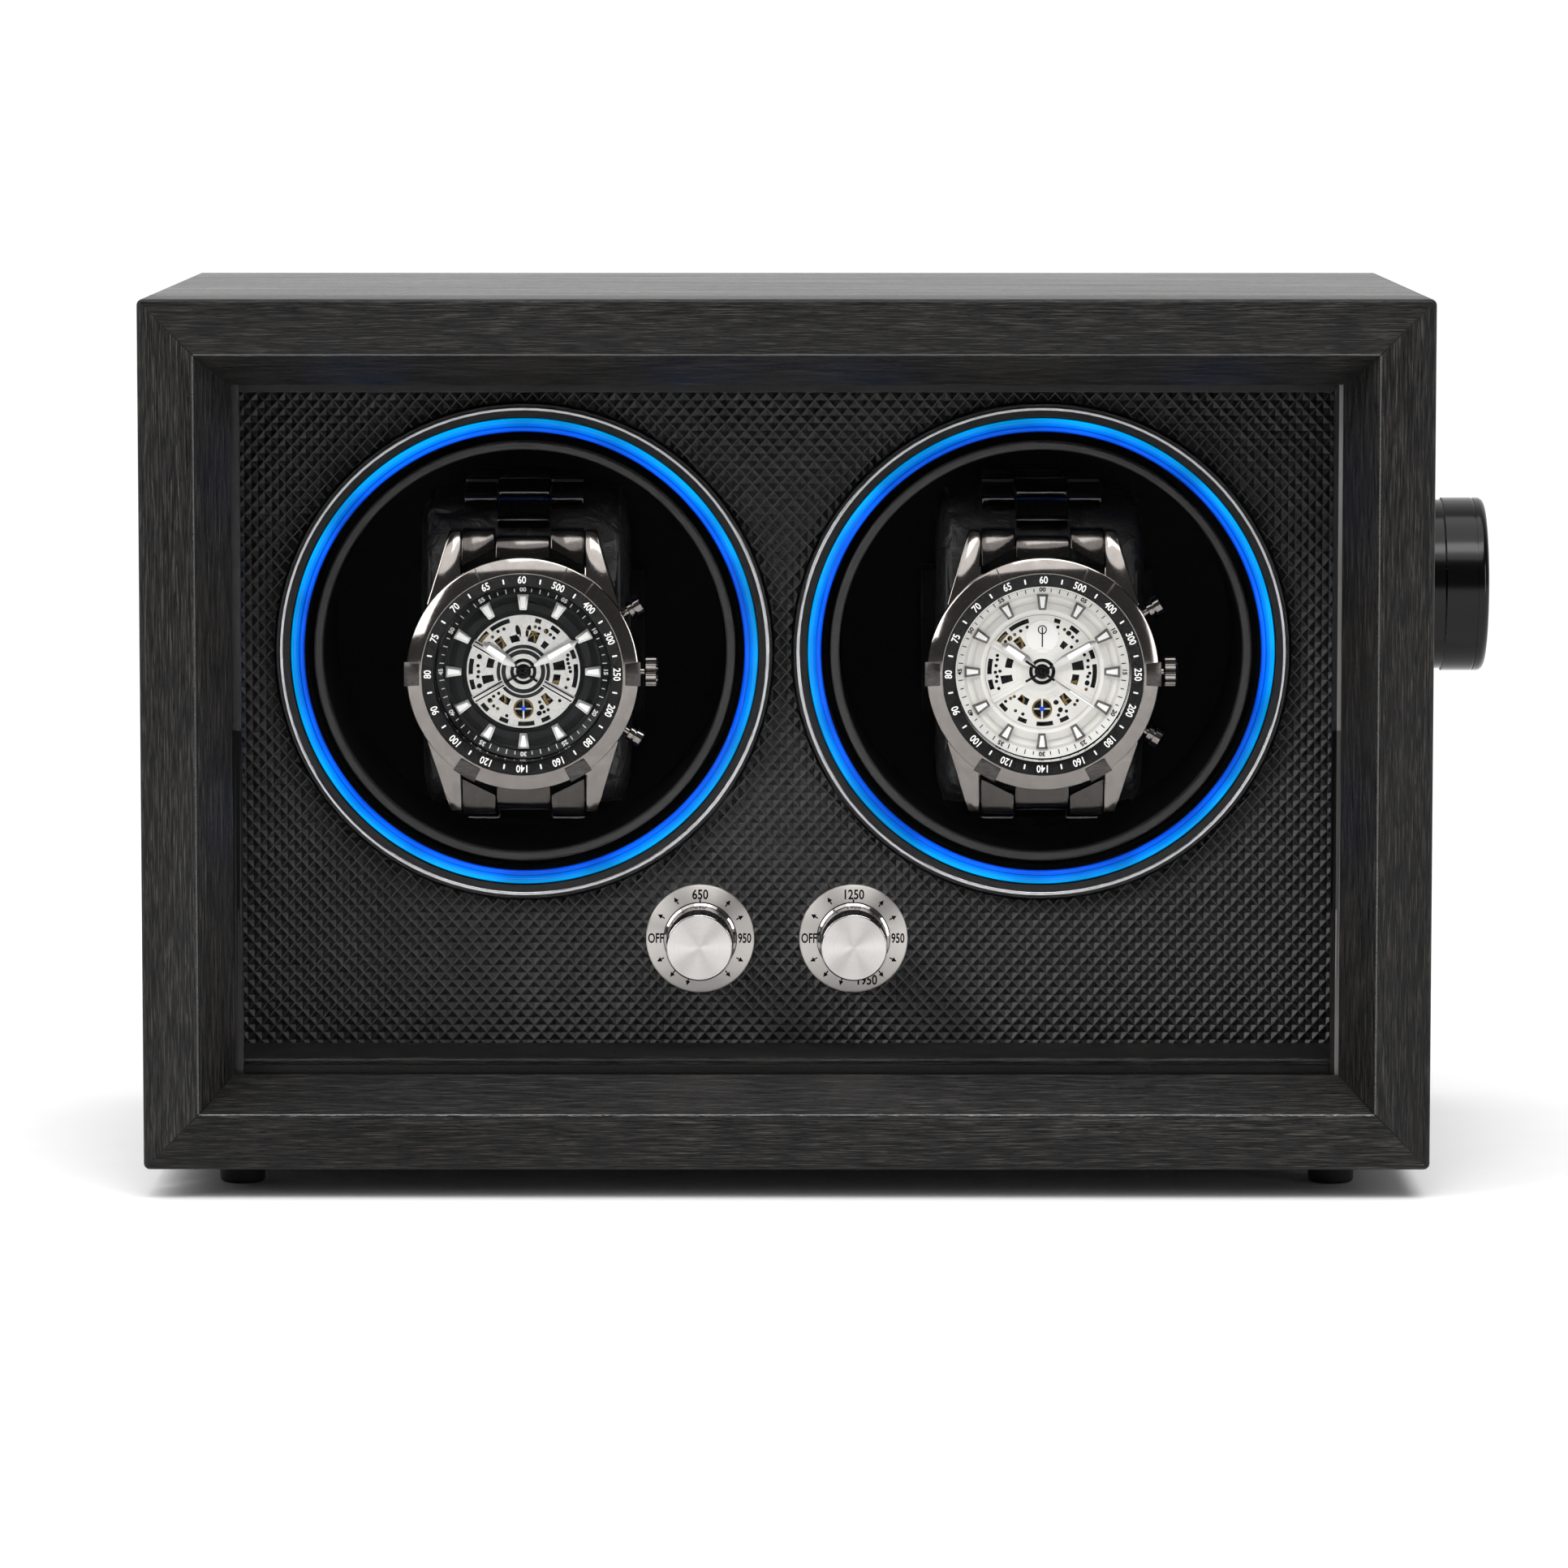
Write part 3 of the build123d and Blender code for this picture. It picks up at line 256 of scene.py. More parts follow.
def moulded(name, dark, light, roughness, grain_mm, depth_mm, gloss=0.4):
    """Moulded plastic or rubber with a fine surface grain."""
    finish, tree = new_finish(name)
    grain = add(tree, "TexNoise", {"Vector": spots(tree), "Scale": 1 / (grain_mm * MM), "Detail": 3.0})
    drift = add(tree, "TexNoise", {"Vector": spots(tree), "Scale": 40.0, "Detail": 2.0})
    tone = ramp(tree, drift.outputs["Fac"], [(0.3, dark), (0.7, light)])
    rough = add(
        tree,
        "MapRange",
        {"Value": grain.outputs["Fac"], "To Min": roughness * 0.85, "To Max": roughness * 1.2}
    )
    bump = add(tree, "Bump", {"Height": grain.outputs["Fac"], "Strength": 0.4, "Distance": depth_mm * MM})
    shader = add(tree, "BsdfPrincipled", {
        "Base Color": tone.outputs[0], "Roughness": rough.outputs[0], "Normal": bump.outputs[0], "IOR": 1.52,
        "Specular IOR Level": gloss})
    add(tree, "OutputMaterial", {"Surface": shader.outputs[0]})
    return finish


gloss_abs = moulded("gloss_black_abs", "#030303", "#060607", 0.1, 6.0, 0.01, 0.2)
satin_abs = moulded("satin_black_abs", "#050505", "#0a0a0a", 0.42, 0.25, 0.02, 0.2)
cup_abs = moulded("flock_dark_abs", "#020202", "#040404", 0.7, 0.3, 0.03, 0.1)
grey_abs = moulded("satin_grey_abs", "#2a2929", "#343332", 0.34, 0.3, 0.01, 0.3)
# Bead edges painted with light: a grey painted highlight for the right bead, a dim painted sheen for the
# left one.
bead_painted_highlight = moulded("bead_edge_painted_highlight", "#6a6866", "#7e7c7a", 0.3, 0.5, 0.01, 0.5)
bead_dim_painted_sheen = moulded("bead_edge_dim_painted_sheen", "#161616", "#202020", 0.4, 0.5, 0.01, 0.3)
knob_black = moulded("soft_touch_black", "#030304", "#060607", 0.16, 0.2, 0.002, 0.22)
foot_rubber = moulded("moulded_rubber", "#0b0b0b", "#141414", 0.7, 0.35, 0.05)
painted_board = moulded("painted_fibreboard", "#0f0f0f", "#171717", 0.62, 0.5, 0.05)
raw_board = moulded("raw_fibreboard", "#6a5138", "#86694a", 0.85, 0.4, 0.08)
circuit_green = moulded("solder_mask_green", "#0b2c18", "#123a20", 0.3, 2.0, 0.01)
print("moulded finishes:", gloss_abs.name, satin_abs.name, foot_rubber.name)

# %% [markdown]
# ## Metals
# Watch steel is stainless, polished on slopes and brushed on flats. Brushing leaves fine parallel lines,
# which noise stretched along them gives. Polished metal takes the same noise unstretched and very
# shallow: that whisper of bump keeps it from looking like a computer's perfect mirror.

# %% Metal finishes


def metal(name, dark, light, roughness, streak=(300.0, 300.0, 300.0), bump_mm=0.01):
    """Bare metal whose tone and roughness follow fine streaks."""
    finish, tree = new_finish(name)
    lines = add(
        tree, "TexNoise", {"Vector": spots(tree, streak), "Scale": 1.0, "Detail": 3.0, "Roughness": 0.6}
    )
    tone = ramp(tree, lines.outputs["Fac"], [(0.3, dark), (0.7, light)])
    rough = add(
        tree,
        "MapRange",
        {"Value": lines.outputs["Fac"], "To Min": roughness * 0.8, "To Max": roughness * 1.25}
    )
    bump = add(tree, "Bump", {"Height": lines.outputs["Fac"], "Strength": 0.25, "Distance": bump_mm * MM})
    shader = add(tree, "BsdfPrincipled", {
        "Base Color": tone.outputs[0], "Metallic": 1.0, "Roughness": rough.outputs[0],
        "Normal": bump.outputs[0]})
    add(tree, "OutputMaterial", {"Surface": shader.outputs[0]})
    return finish


chrome = metal("bright_chrome_plate", "#a2a2a4", "#b4b4b6", 0.05, bump_mm=0.0002)
polished_steel = metal("polished_watch_steel", "#7c7774", "#86817d", 0.08, bump_mm=0.0002)
knob_chrome = metal("dark_mirror_chrome", "#82807e", "#969492", 0.07, bump_mm=0.0002)
bright_steel = metal("satin_applied_steel", "#d0ccc7", "#e6e2dd", 0.3, bump_mm=0.001)
dark_steel = metal("brushed_dark_steel", "#3c3a39", "#565351", 0.3, (200.0, 4000.0, 4000.0), 0.002)
link_steel = metal("polished_dark_links", "#454240", "#4e4b49", 0.1, (2500.0, 500.0, 500.0), 0.0003)
bridge_silver = metal("rhodium_bridge", "#dad5ce", "#f2eee8", 0.34, (2600.0, 700.0, 2600.0), 0.002)
gear_brass = metal("gilt_wheel", "#6f5c3c", "#94794a", 0.25)
hinge_nickel = metal("dark_nickel", "#4a4a4c", "#626265", 0.3)
motor_zinc = metal("zinc_motor_can", "#85868a", "#9a9b9f", 0.35)
print("metal finishes:", chrome.name, polished_steel.name, dark_steel.name)

# %% [markdown]
# ## Clear parts and inks
# Clear acrylic and watch glass pass nearly all light and mirror a little of it, more at a slant. Fresnel
# mixes a sharp gloss over plain transparency, and so light still reaches what lies behind. Both sheets carry
# an anti-reflection coat, so they mirror far less than bare glass. The white lume and printed numbers are
# matt paints. The white paints, the white dial and its pale ring, the silvered bridges and the blue jewel
# also give out a little light: a painted glow that lifts them as if more light fell on them. On the lume it
# also stands for its faint afterglow.

# %% Clear finishes and inks


def clear(name, ior, roughness, tint):
    """A thin clear sheet that mirrors by Fresnel."""
    finish, tree = new_finish(name)
    smear = add(tree, "TexNoise", {"Vector": spots(tree), "Scale": 30.0, "Detail": 2.0})
    rough = add(
        tree,
        "MapRange",
        {"Value": smear.outputs["Fac"], "To Min": roughness * 0.6, "To Max": roughness * 1.4}
    )
    edge = add(tree, "Fresnel", {"IOR": ior})
    through = add(tree, "BsdfTransparent", {"Color": paint(tint)})
    mirror = add(tree, "BsdfGlossy", {"Color": paint("#ffffff"), "Roughness": rough.outputs[0]})
    mixed = add(tree, "MixShader", {0: edge.outputs[0], 1: through.outputs[0], 2: mirror.outputs[0]})
    add(tree, "OutputMaterial", {"Surface": mixed.outputs[0]})
    return finish


def ink(name, code, roughness=0.5, glow=0.0, gloss=0.4):
    """A flat printed or filled paint with a slightly uneven coat."""
    finish, tree = new_finish(name)
    uneven = add(tree, "TexNoise", {"Vector": spots(tree), "Scale": 1 / (0.6 * MM), "Detail": 2.0})
    rough = add(
        tree,
        "MapRange",
        {"Value": uneven.outputs["Fac"], "To Min": roughness * 0.85, "To Max": roughness * 1.15}
    )
    # A glow makes the paint give out light of its own, though it is no lamp: painted light.
    shader = add(tree, "BsdfPrincipled", {
        "Base Color": paint(code), "Roughness": rough.outputs[0], "IOR": 1.5, "Specular IOR Level": gloss,
        "Emission Color": paint(code), "Emission Strength": glow})
    add(tree, "OutputMaterial", {"Surface": shader.outputs[0]})
    return finish


acrylic = clear("coated_clear_acrylic", 1.045, 0.02, "#ffffff")
crystal_glass = clear("coated_watch_glass", 1.07, 0.02, "#fafbfc")
# The white print, white dial, pale ring and bridges glow: painted light that brightens them.
white_ink_painted_glow = ink("white_print_painted_glow", "#e6e4e0", glow=0.15)
# The lume's glow is partly its real faint afterglow and partly painted light that brightens it.
lume_white_painted_glow = ink("white_lume_painted_glow", "#f4f2ec", glow=0.35)
black_ink_and_painted_shade = ink("black_engraving_fill_and_painted_shade", "#040404", 0.9, gloss=0.1)
black_enamel = ink("black_dial_enamel", "#060606", 0.3, gloss=0.15)
grey_enamel = ink("grey_dial_ring", "#181818", 0.35, gloss=0.25)
white_enamel_painted_glow = ink("white_dial_enamel_painted_glow", "#e6e2db", 0.35, glow=0.22)
pale_enamel_painted_glow = ink("pale_dial_ring_painted_glow", "#dcd7cf", 0.35, glow=0.2)
bridge_white_painted_glow = ink("silvered_bridge_lacquer_painted_glow", "#e6e1d9", 0.3, glow=0.12)
index_rhodium = ink("grey_index_frame", "#6f6a65", 0.25, gloss=0.7)
# The jewel's glow is painted light, a stand-in for its glint.
blue_jewel_painted_glow = ink("synthetic_jewel_painted_glow", "#0f45c8", 0.1, glow=0.4)
print("clear finishes and inks:", acrylic.name, crystal_glass.name, white_ink_painted_glow.name)

# %% [markdown]
# ## The lit ring
# Blue LEDs feed a clear acrylic guide edge-on, and its front gives out light: a pale azure on the outer
# half, where the LEDs sit, and a deep blue on the inner half. The colour follows the distance from the
# ring's own centre. Both rings share the finish, so the sideways coordinate is folded about the middle.

# %% Light guide finish


def joint_point(name):
    """Where a joint's axis passes, from the record."""
    return Vector(next(j["pos_m"] for j in frame["record"]["behaviour"]["joints"] if j["name"] == name))


rotors = {side: joint_point(f"rotor_{side}_spin") for side in ("left", "right")}
guide_low, guide_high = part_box("light_guides")
guide_outer = (guide_high[2] - guide_low[2]) / 2
guide_inner = guide_outer - 2.7 * MM


def offset_from(tree, pair):
    """Sideways and upward distance from the nearer of two level centres, as two output sockets."""
    where = add(tree, "SeparateXYZ", {0: add(tree, "TexCoord").outputs["Object"]})
    across = add(
        tree,
        "Math",
        {0: where.outputs["X"], 1: (pair["left"].x + pair["right"].x) / 2},
        operation="SUBTRACT"
    )
    folded = add(tree, "Math", {0: across.outputs[0]}, operation="ABSOLUTE")
    aside = add(
        tree,
        "Math",
        {0: folded.outputs[0], 1: (pair["right"].x - pair["left"].x) / 2},
        operation="SUBTRACT"
    )
    above = add(tree, "Math", {0: where.outputs["Z"], 1: pair["left"].z}, operation="SUBTRACT")
    half = add(tree, "Math", {0: across.outputs[0]}, operation="SIGN")
    sideways = add(tree, "Math", {0: aside.outputs[0], 1: half.outputs[0]}, operation="MULTIPLY")
    return sideways.outputs[0], above.outputs[0]


def radius_about(tree, pair):
    """Distance from the nearer of two level centres, as an output socket."""
    sideways, above = offset_from(tree, pair)
    flat = add(tree, "CombineXYZ", {"X": sideways, "Z": above})
    return add(tree, "VectorMath", {0: flat.outputs[0]}, operation="LENGTH").outputs["Value"]


lit_acrylic, tree = new_finish("edge_lit_acrylic")
share = add(
    tree,
    "MapRange",
    {"Value": radius_about(tree, rotors), "From Min": guide_inner, "From Max": guide_outer}
)
glow = ramp(
    tree,
    share.outputs[0],
    [
        (0.0, "#0030b8"), (0.12, "#0060fc"), (0.3, "#0068ff"), (0.37, "#0040c0"), (0.44, "#0078fc"),
        (0.7, "#0090fc"), (0.92, "#00b0fc"), (1.0, "#0070c8")
    ]
)
patches = add(tree, "TexNoise", {"Vector": spots(tree), "Scale": 1 / (14 * MM), "Detail": 1.0})
level = add(
    tree,
    "MapRange",
    {"Value": patches.outputs["Fac"], "From Min": 0.35, "From Max": 0.65, "To Min": 0.72, "To Max": 1.25}
)
shader = add(tree, "BsdfPrincipled", {
    "Base Color": paint("#000208"), "Roughness": 0.08, "IOR": 1.49, "Specular IOR Level": 0.12,
    "Emission Color": glow.outputs[0], "Emission Strength": level.outputs[0]})
add(tree, "OutputMaterial", {"Surface": shader.outputs[0]})
print("rotor centres:", [tuple(round(c, 4) for c in p) for p in rotors.values()])

# %% [markdown]
# ## Turned faces
# The speed dials' plates and knobs are faced on a lathe, and the tool leaves fine rings round the centre
# that pull the highlight into bright sectors. The rings are noise along the distance from the nearer
# dial's centre. Anisotropy with a tangent that points away from that centre gives the sectors.

# %% Turned metal finish
dials = {side: joint_point(f"speed_knob_{side}_turn") for side in ("left", "right")}


def turned(name, dark, light, roughness, ring_mm):
    """Metal with fine rings about the speed dials' centres and a highlight that fans out."""
    finish, tree = new_finish(name)
    rings = add(tree, "Math", {0: radius_about(tree, dials), 1: 1 / (ring_mm * MM)}, operation="MULTIPLY")
    lines = add(
        tree, "TexNoise", {"W": rings.outputs[0], "Scale": 1.0, "Detail": 2.0}, noise_dimensions="1D"
    )
    tone = ramp(tree, lines.outputs["Fac"], [(0.3, dark), (0.7, light)])
    bump = add(tree, "Bump", {"Height": lines.outputs["Fac"], "Strength": 0.3, "Distance": 0.004 * MM})
    sideways, above = offset_from(tree, dials)
    across_rings = add(tree, "CombineXYZ", {"X": sideways, "Z": above})
    shader = add(tree, "BsdfPrincipled", {
        "Base Color": tone.outputs[0], "Metallic": 1.0, "Roughness": roughness, "Anisotropic": 0.85,
        "Tangent": across_rings.outputs[0], "Normal": bump.outputs[0]})
    add(tree, "OutputMaterial", {"Surface": shader.outputs[0]})
    return finish


plate_steel = turned("turned_plate_steel", "#c6c1bd", "#d6d2ce", 0.4, 0.12)
knob_steel = turned("turned_knob_steel", "#ccc8c5", "#dad6d3", 0.36, 0.12)
print("dial centres:", [tuple(round(c, 4) for c in p) for p in dials.values()])

# %% [markdown]
# ## Helpers for shapes
# Small parts are modelled in millimetres on the level plane, looking up, and then stood up to face out of
# the box. A lathe spins an open or closed profile round Z, a slab thickens an outline, a block is a cube
# with eased edges, and join collects such parts into one piece.

# %% Shape helpers


def stand(x, y, z):
    """Turns a part that was modelled lying down, in mm, to face the front at a point in metres."""
    return Matrix.Translation((x, y, z)) @ Matrix.Rotation(pi / 2, 4, "X") @ Matrix.Scale(MM, 4)


def lathe(profile, steps=96, closed=True):
    """Spins (radius, height) points about Z. An open profile starts and ends on the axis."""
    bm = bmesh.new()
    points = [bm.verts.new((r, 0, h)) for r, h in profile]
    edges = [bm.edges.new(pair) for pair in zip(points, points[1:])]
    if closed:
        edges.append(bm.edges.new((points[-1], points[0])))
    bmesh.ops.spin(
        bm, geom=points + edges, cent=(0, 0, 0), axis=(0, 0, 1), angle=2 * pi, steps=steps, use_merge=True
    )
    bmesh.ops.remove_doubles(bm, verts=bm.verts, dist=1e-4)
    bmesh.ops.recalc_face_normals(bm, faces=bm.faces)
    return bm


def ease(bm, offset):
    """Rounds every edge that turns by more than 25 degrees."""
    sharp = [e for e in bm.edges if len(e.link_faces) == 2 and e.calc_face_angle() > radians(25)]
    bmesh.ops.bevel(
        bm, geom=sharp, offset=offset, segments=2, profile=0.5, affect="EDGES", material=-1,
        clamp_overlap=True
    )
    return bm


def block(width, length, height, easing=0.0):
    """A block on the origin with eased edges."""
    bm = bmesh.new()
    bmesh.ops.create_cube(bm, size=1.0, matrix=Matrix.Diagonal((width, length, height, 1)))
    return ease(bm, easing) if easing else bm


def slab(outline, height, easing=0.0):
    """An outline of (x, y) points, thickened upwards."""
    bm = bmesh.new()
    face = bm.faces.new([bm.verts.new((x, y, 0)) for x, y in outline])
    grown = bmesh.ops.extrude_face_region(bm, geom=[face])
    bmesh.ops.translate(
        bm, verts=[v for v in grown["geom"] if isinstance(v, bmesh.types.BMVert)], vec=(0, 0, height)
    )
    bmesh.ops.recalc_face_normals(bm, faces=bm.faces)
    return ease(bm, easing) if easing else bm


def join(bm, part, matrix=None, material=0):
    """Adds a part to a piece, moved by matrix, in one of the piece's finishes; None keeps the part's own."""
    for face in part.faces if material is not None else ():
        face.material_index = material
    if matrix is not None:
        part.transform(matrix)
    held = bpy.data.meshes.new("held")
    part.to_mesh(held)
    part.free()
    bm.from_mesh(held)
    bpy.data.meshes.remove(held)


def piece(bm, name, finishes, body, stands_for=(), sharp=32.0):
    """Turns a bmesh into a named piece that rides on a body."""
    mesh = bpy.data.meshes.new(name)
    bm.to_mesh(mesh)
    bm.free()
    for finish in finishes:
        mesh.materials.append(finish)
    mesh.shade_smooth()
    mesh.set_sharp_from_angle(angle=radians(sharp))
    made = bpy.data.objects.new(name, mesh)
    bpy.context.scene.collection.objects.link(made)
    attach(made, body)
    if stands_for:
        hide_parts(*stands_for)
    return made


def curve_part(curve):
    """A curve or text as a bmesh; the curve is used up."""
    holder = bpy.data.objects.new("holder", curve)
    bpy.context.scene.collection.objects.link(holder)
    mesh = bpy.data.meshes.new_from_object(holder)
    bm = bmesh.new()
    bm.from_mesh(mesh)
    bpy.data.objects.remove(holder)
    bpy.data.meshes.remove(mesh)
    bpy.data.curves.remove(curve)
    return bm


PAINT_MM = 0.03


def lettering(words, size, bold=0.0, narrow=1.0):
    """Words centred on the origin, in mm; bold thickens the strokes and narrow squeezes the width."""
    curve = bpy.data.curves.new("words", "FONT")
    curve.body = words
    curve.size = size
    curve.align_x = "CENTER"
    curve.align_y = "CENTER"
    curve.extrude = PAINT_MM / 2
    curve.resolution_u = 3
    curve.offset = bold
    made = curve_part(curve)
    made.transform(Matrix.Diagonal((narrow, 1, 1, 1)))
    return made


def round_clock(radius, turn, lift=0.0):
    """Puts a part on a circle at a clock angle in degrees, its top outwards."""
    a = radians(turn)
    return Matrix.Translation((radius * sin(a), radius * cos(a), lift)) @ Matrix.Rotation(-a, 4, "Z")


def corners(node):
    """A CAD node's lowest and highest corners as vectors."""
    low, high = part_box(node)
    return Vector(low), Vector(high)


def rear(node):
    """How far back a CAD node reaches."""
    return corners(node)[1].y


print("shape helpers ready")

# %% [markdown]
# ## Boards with eased edges
# Real boards never have razor edges: a maker eases them by a fraction of a millimetre, and that thin slope
# is what lights up along the door's arrises. The mitres show as hairlines because their eased faces are
# painted near black, a painted shade for the shadow in each groove. Each board is a welded copy of the CAD
# board with its long edges rounded, so it keeps the true shape and cut-outs.

# %% Case, door and liner boards


# Near-black painted shade for the mitre grooves.
mitre_painted_shade = ink("mitre_groove_painted_shade", "#030303", 0.8)


def eased_board(node, finish, body, easing=0.25):
    """A welded copy of a CAD node with its long edges eased."""
    bm = bmesh.new()
    bm.from_mesh(frame["nodes"][node].data)
    bmesh.ops.remove_doubles(bm, verts=bm.verts, dist=2e-6)
    bmesh.ops.dissolve_limit(bm, angle_limit=radians(0.5), verts=bm.verts, edges=bm.edges)
    for face in bm.faces:
        face.material_index = 0
    for mitred in (True, False):
        chosen = []
        for e in bm.edges:
            run = e.verts[0].co - e.verts[1].co
            diagonal = min(abs(run.x), abs(run.z)) > 0.3 * run.length
            shallow = len(e.link_faces) != 2 or e.calc_face_angle() < radians(22)
            if diagonal == mitred and not shallow and run.length > (5 if mitred else 18) * MM:
                chosen.append(e)
        # Mitre faces take the painted shade; the other eased arrises take the glossier lacquer.
        bmesh.ops.bevel(
            bm, geom=chosen, offset=(0.2 if mitred else easing) * MM, segments=2, profile=0.5,
            affect="EDGES", material=1 if mitred else 2
        )
    return piece(
        bm, node + "_wood", [finish, mitre_painted_shade, wood_arris], body, [node], sharp=40.0
    )


for node, finish, body in (
    ("case_top_board", wood_polished, "case"),
    ("case_bottom_board", wood_level, "case"),
    ("case_sides", wood_upright, "case"),
    ("door_rails", wood_level, "door"),
    ("door_stiles", wood_upright, "door"),
):
    board = eased_board(node, finish, body)
    print(board.name, len(board.data.polygons), "faces")

liner = eased_board("recess_liner", wood_level, "case", 0.3)
print(liner.name, len(liner.data.polygons), "faces")

# %% [markdown]
# ## Beads behind the pane
# Four moulded beads hold the pane in its rebate. Their lips stand a little inside the opening: they are
# black and nearly vanish. The right one carries a grey strip that shows as a thin grey line, a painted
# highlight for the light its edge catches. The left one is painted a dim grey all over, a fainter painted
# sheen.

# %% Window beads
bead_low, bead_high = corners("window_beads")
bead_w = 4.6
bead_size = (bead_high - bead_low) / MM
bead_mid = (bead_high + bead_low) / 2
ring = bmesh.new()
lip_w, strip_w = 0.9, 1.2
# Right: a painted highlight strip between black parts. Left: every part in the dim painted sheen.
for from_inside, width, finish_index in (
    (0, lip_w, 0), (lip_w, strip_w, 1), (lip_w + strip_w, bead_w - lip_w - strip_w, 0)
):
    for side in (-1, 1):
        middle = side * (bead_size.x / 2 - bead_w + from_inside + width / 2)
        upright = block(width, bead_size.z, bead_size.y)
        join(
            ring, upright, Matrix.Translation((middle, 0, bead_size.y / 2)), finish_index if side > 0 else 2
        )
for side in (-1, 1):
    join(
        ring,
        block(bead_size.x - 2 * bead_w, bead_w, bead_size.y, 0.2),
        Matrix.Translation((0, side * (bead_size.z - bead_w) / 2, bead_size.y / 2)),
        0
    )
ring.transform(stand(bead_mid.x, bead_high.y, bead_mid.z))
piece(
    ring, "window_beads_moulded", [satin_abs, bead_painted_highlight, bead_dim_painted_sheen], "door", ["window_beads"]
)
print("window beads:", [round(c, 1) for c in bead_size], "mm")

# %% [markdown]
# ## Finishes for the CAD pieces that stay
# Turned and moulded parts already have their true shape from the CAD, so they only take a finish.

# %% Assign finishes to CAD nodes
kept_finishes = {
    "rear_panel": painted_board, "rear_panel_screws": hinge_nickel, "rubber_feet": foot_rubber,
    "front_panel": raw_board, "light_bezels": gloss_abs, "chrome_rings": chrome,
    "led_boards": circuit_green, "drum_housings": satin_abs, "gear_motors": motor_zinc,
    "rotary_switches": satin_abs, "control_board": circuit_green, "dc_jack": satin_abs,
    "light_dimmer": satin_abs, "light_knob_collar": knob_black, "light_knob": knob_black,
    "door_window": acrylic, "hinge_case_leaves": hinge_nickel, "hinge_door_leaves": hinge_nickel,
    "hinge_pins": hinge_nickel, "catch_magnets": hinge_nickel, "catch_plates": hinge_nickel,
    "rotor_left_cup": cup_abs, "rotor_right_cup": cup_abs, "rotor_left_rim": grey_abs,
    "rotor_right_rim": grey_abs,
}
for node, finish in kept_finishes.items():
    for material_slot in frame["nodes"][node].material_slots:
        material_slot.material = finish
print(len(kept_finishes), "CAD nodes keep their shape")

# %% [markdown]
# ## Diamond-embossed panel
# The skin is pressed into diamond-shaped pits, 2.7 mm wide and 3.0 mm tall, that leave a lattice of narrow
# crests, painted a lighter grey as a painted highlight; each pit's lower slopes face up and catch the light.
# A level grid turned by 45 degrees and scaled to that pitch is already the pattern; cutting it at the
# panel's edges, clearing the rings, insetting every cell and poking its middle down makes thousands of true
# pits.

# %% Diamond panel
DIAMOND_W = 2.72
DIAMOND_H = 3.0
CREST_W = 0.09
PIT_DEPTH = 0.8
SKIRT_DEPTH = 1.4
UNDER_RING = 1.0
DIAL_ROOM = 8.5
panel_low, panel_high = corners("panel_leather")
panel_size = (panel_high - panel_low) / MM
panel_mid = (panel_low + panel_high) / 2
ring_low, ring_high = corners("light_bezels")
ring_radius = (ring_high.z - ring_low.z) / 2 / MM

cells = int(panel_size.x / DIAMOND_W + panel_size.z / DIAMOND_H) + 3
skin = bmesh.new()
bmesh.ops.create_grid(skin, x_segments=cells, y_segments=cells, size=cells / 2)
diamond = Matrix.Diagonal((DIAMOND_W / sqrt(2), DIAMOND_H / sqrt(2), 1, 1)) @ Matrix.Rotation(pi / 4, 4, "Z")
bmesh.ops.transform(skin, matrix=diamond, verts=skin.verts)
for direction, reach_mm in (
    ((1, 0, 0), panel_size.x / 2), ((-1, 0, 0), panel_size.x / 2), ((0, 1, 0), panel_size.z / 2),
    ((0, -1, 0), panel_size.z / 2)
):
    edge_point = Vector(direction) * reach_mm
    bmesh.ops.bisect_plane(
        skin, geom=skin.verts[:] + skin.edges[:] + skin.faces[:], dist=1e-4, plane_co=edge_point,
        plane_no=direction, clear_outer=True
    )
covered = [
    (Vector(((p.x - panel_mid.x) / MM, (p.z - panel_mid.z) / MM, 0)), ring_radius - UNDER_RING)
    for p in rotors.values()
]
covered += [
    (Vector(((p.x - panel_mid.x) / MM, (p.z - panel_mid.z) / MM, 0)), DIAL_ROOM) for p in dials.values()
]
hidden = [f for f in skin.faces if any((f.calc_center_median() - c).length < r for c, r in covered)]
bmesh.ops.delete(skin, geom=hidden, context="FACES")
diamonds = skin.faces[:]
rims = bmesh.ops.inset_individual(skin, faces=diamonds, thickness=CREST_W, depth=0.0, use_even_offset=True)
# The crest strips take the lighter leather, a painted highlight.
for face in rims["faces"]:
    face.material_index = 1
bmesh.ops.poke(skin, faces=diamonds, offset=-PIT_DEPTH, center_mode="MEAN")
rim_edges = [e for e in skin.edges if e.is_boundary]
skirt = bmesh.ops.extrude_edge_only(skin, edges=rim_edges)
bmesh.ops.translate(
    skin, verts=[v for v in skirt["geom"] if isinstance(v, bmesh.types.BMVert)], vec=(0, 0, -SKIRT_DEPTH)
)
skin.transform(stand(panel_mid.x, panel_low.y - 0.5 * MM, panel_mid.z))
leather_panel = piece(
    skin, "diamond_leather_panel", [panel_hide, crest_painted_highlight], "case", ["panel_leather"],
    sharp=12.0
)
print("diamonds:", len(diamonds), "faces:", len(leather_panel.data.polygons))

# %% [markdown]
# ## Light guides
# The guide shows two rounded beads of acrylic with a crease between them, like two nested tubes. A closed
# profile with two arcs, spun round the rotor's axis, gives the beads long curved highlights. The walls
# behind the beads are painted black, so light only leaves at the front.

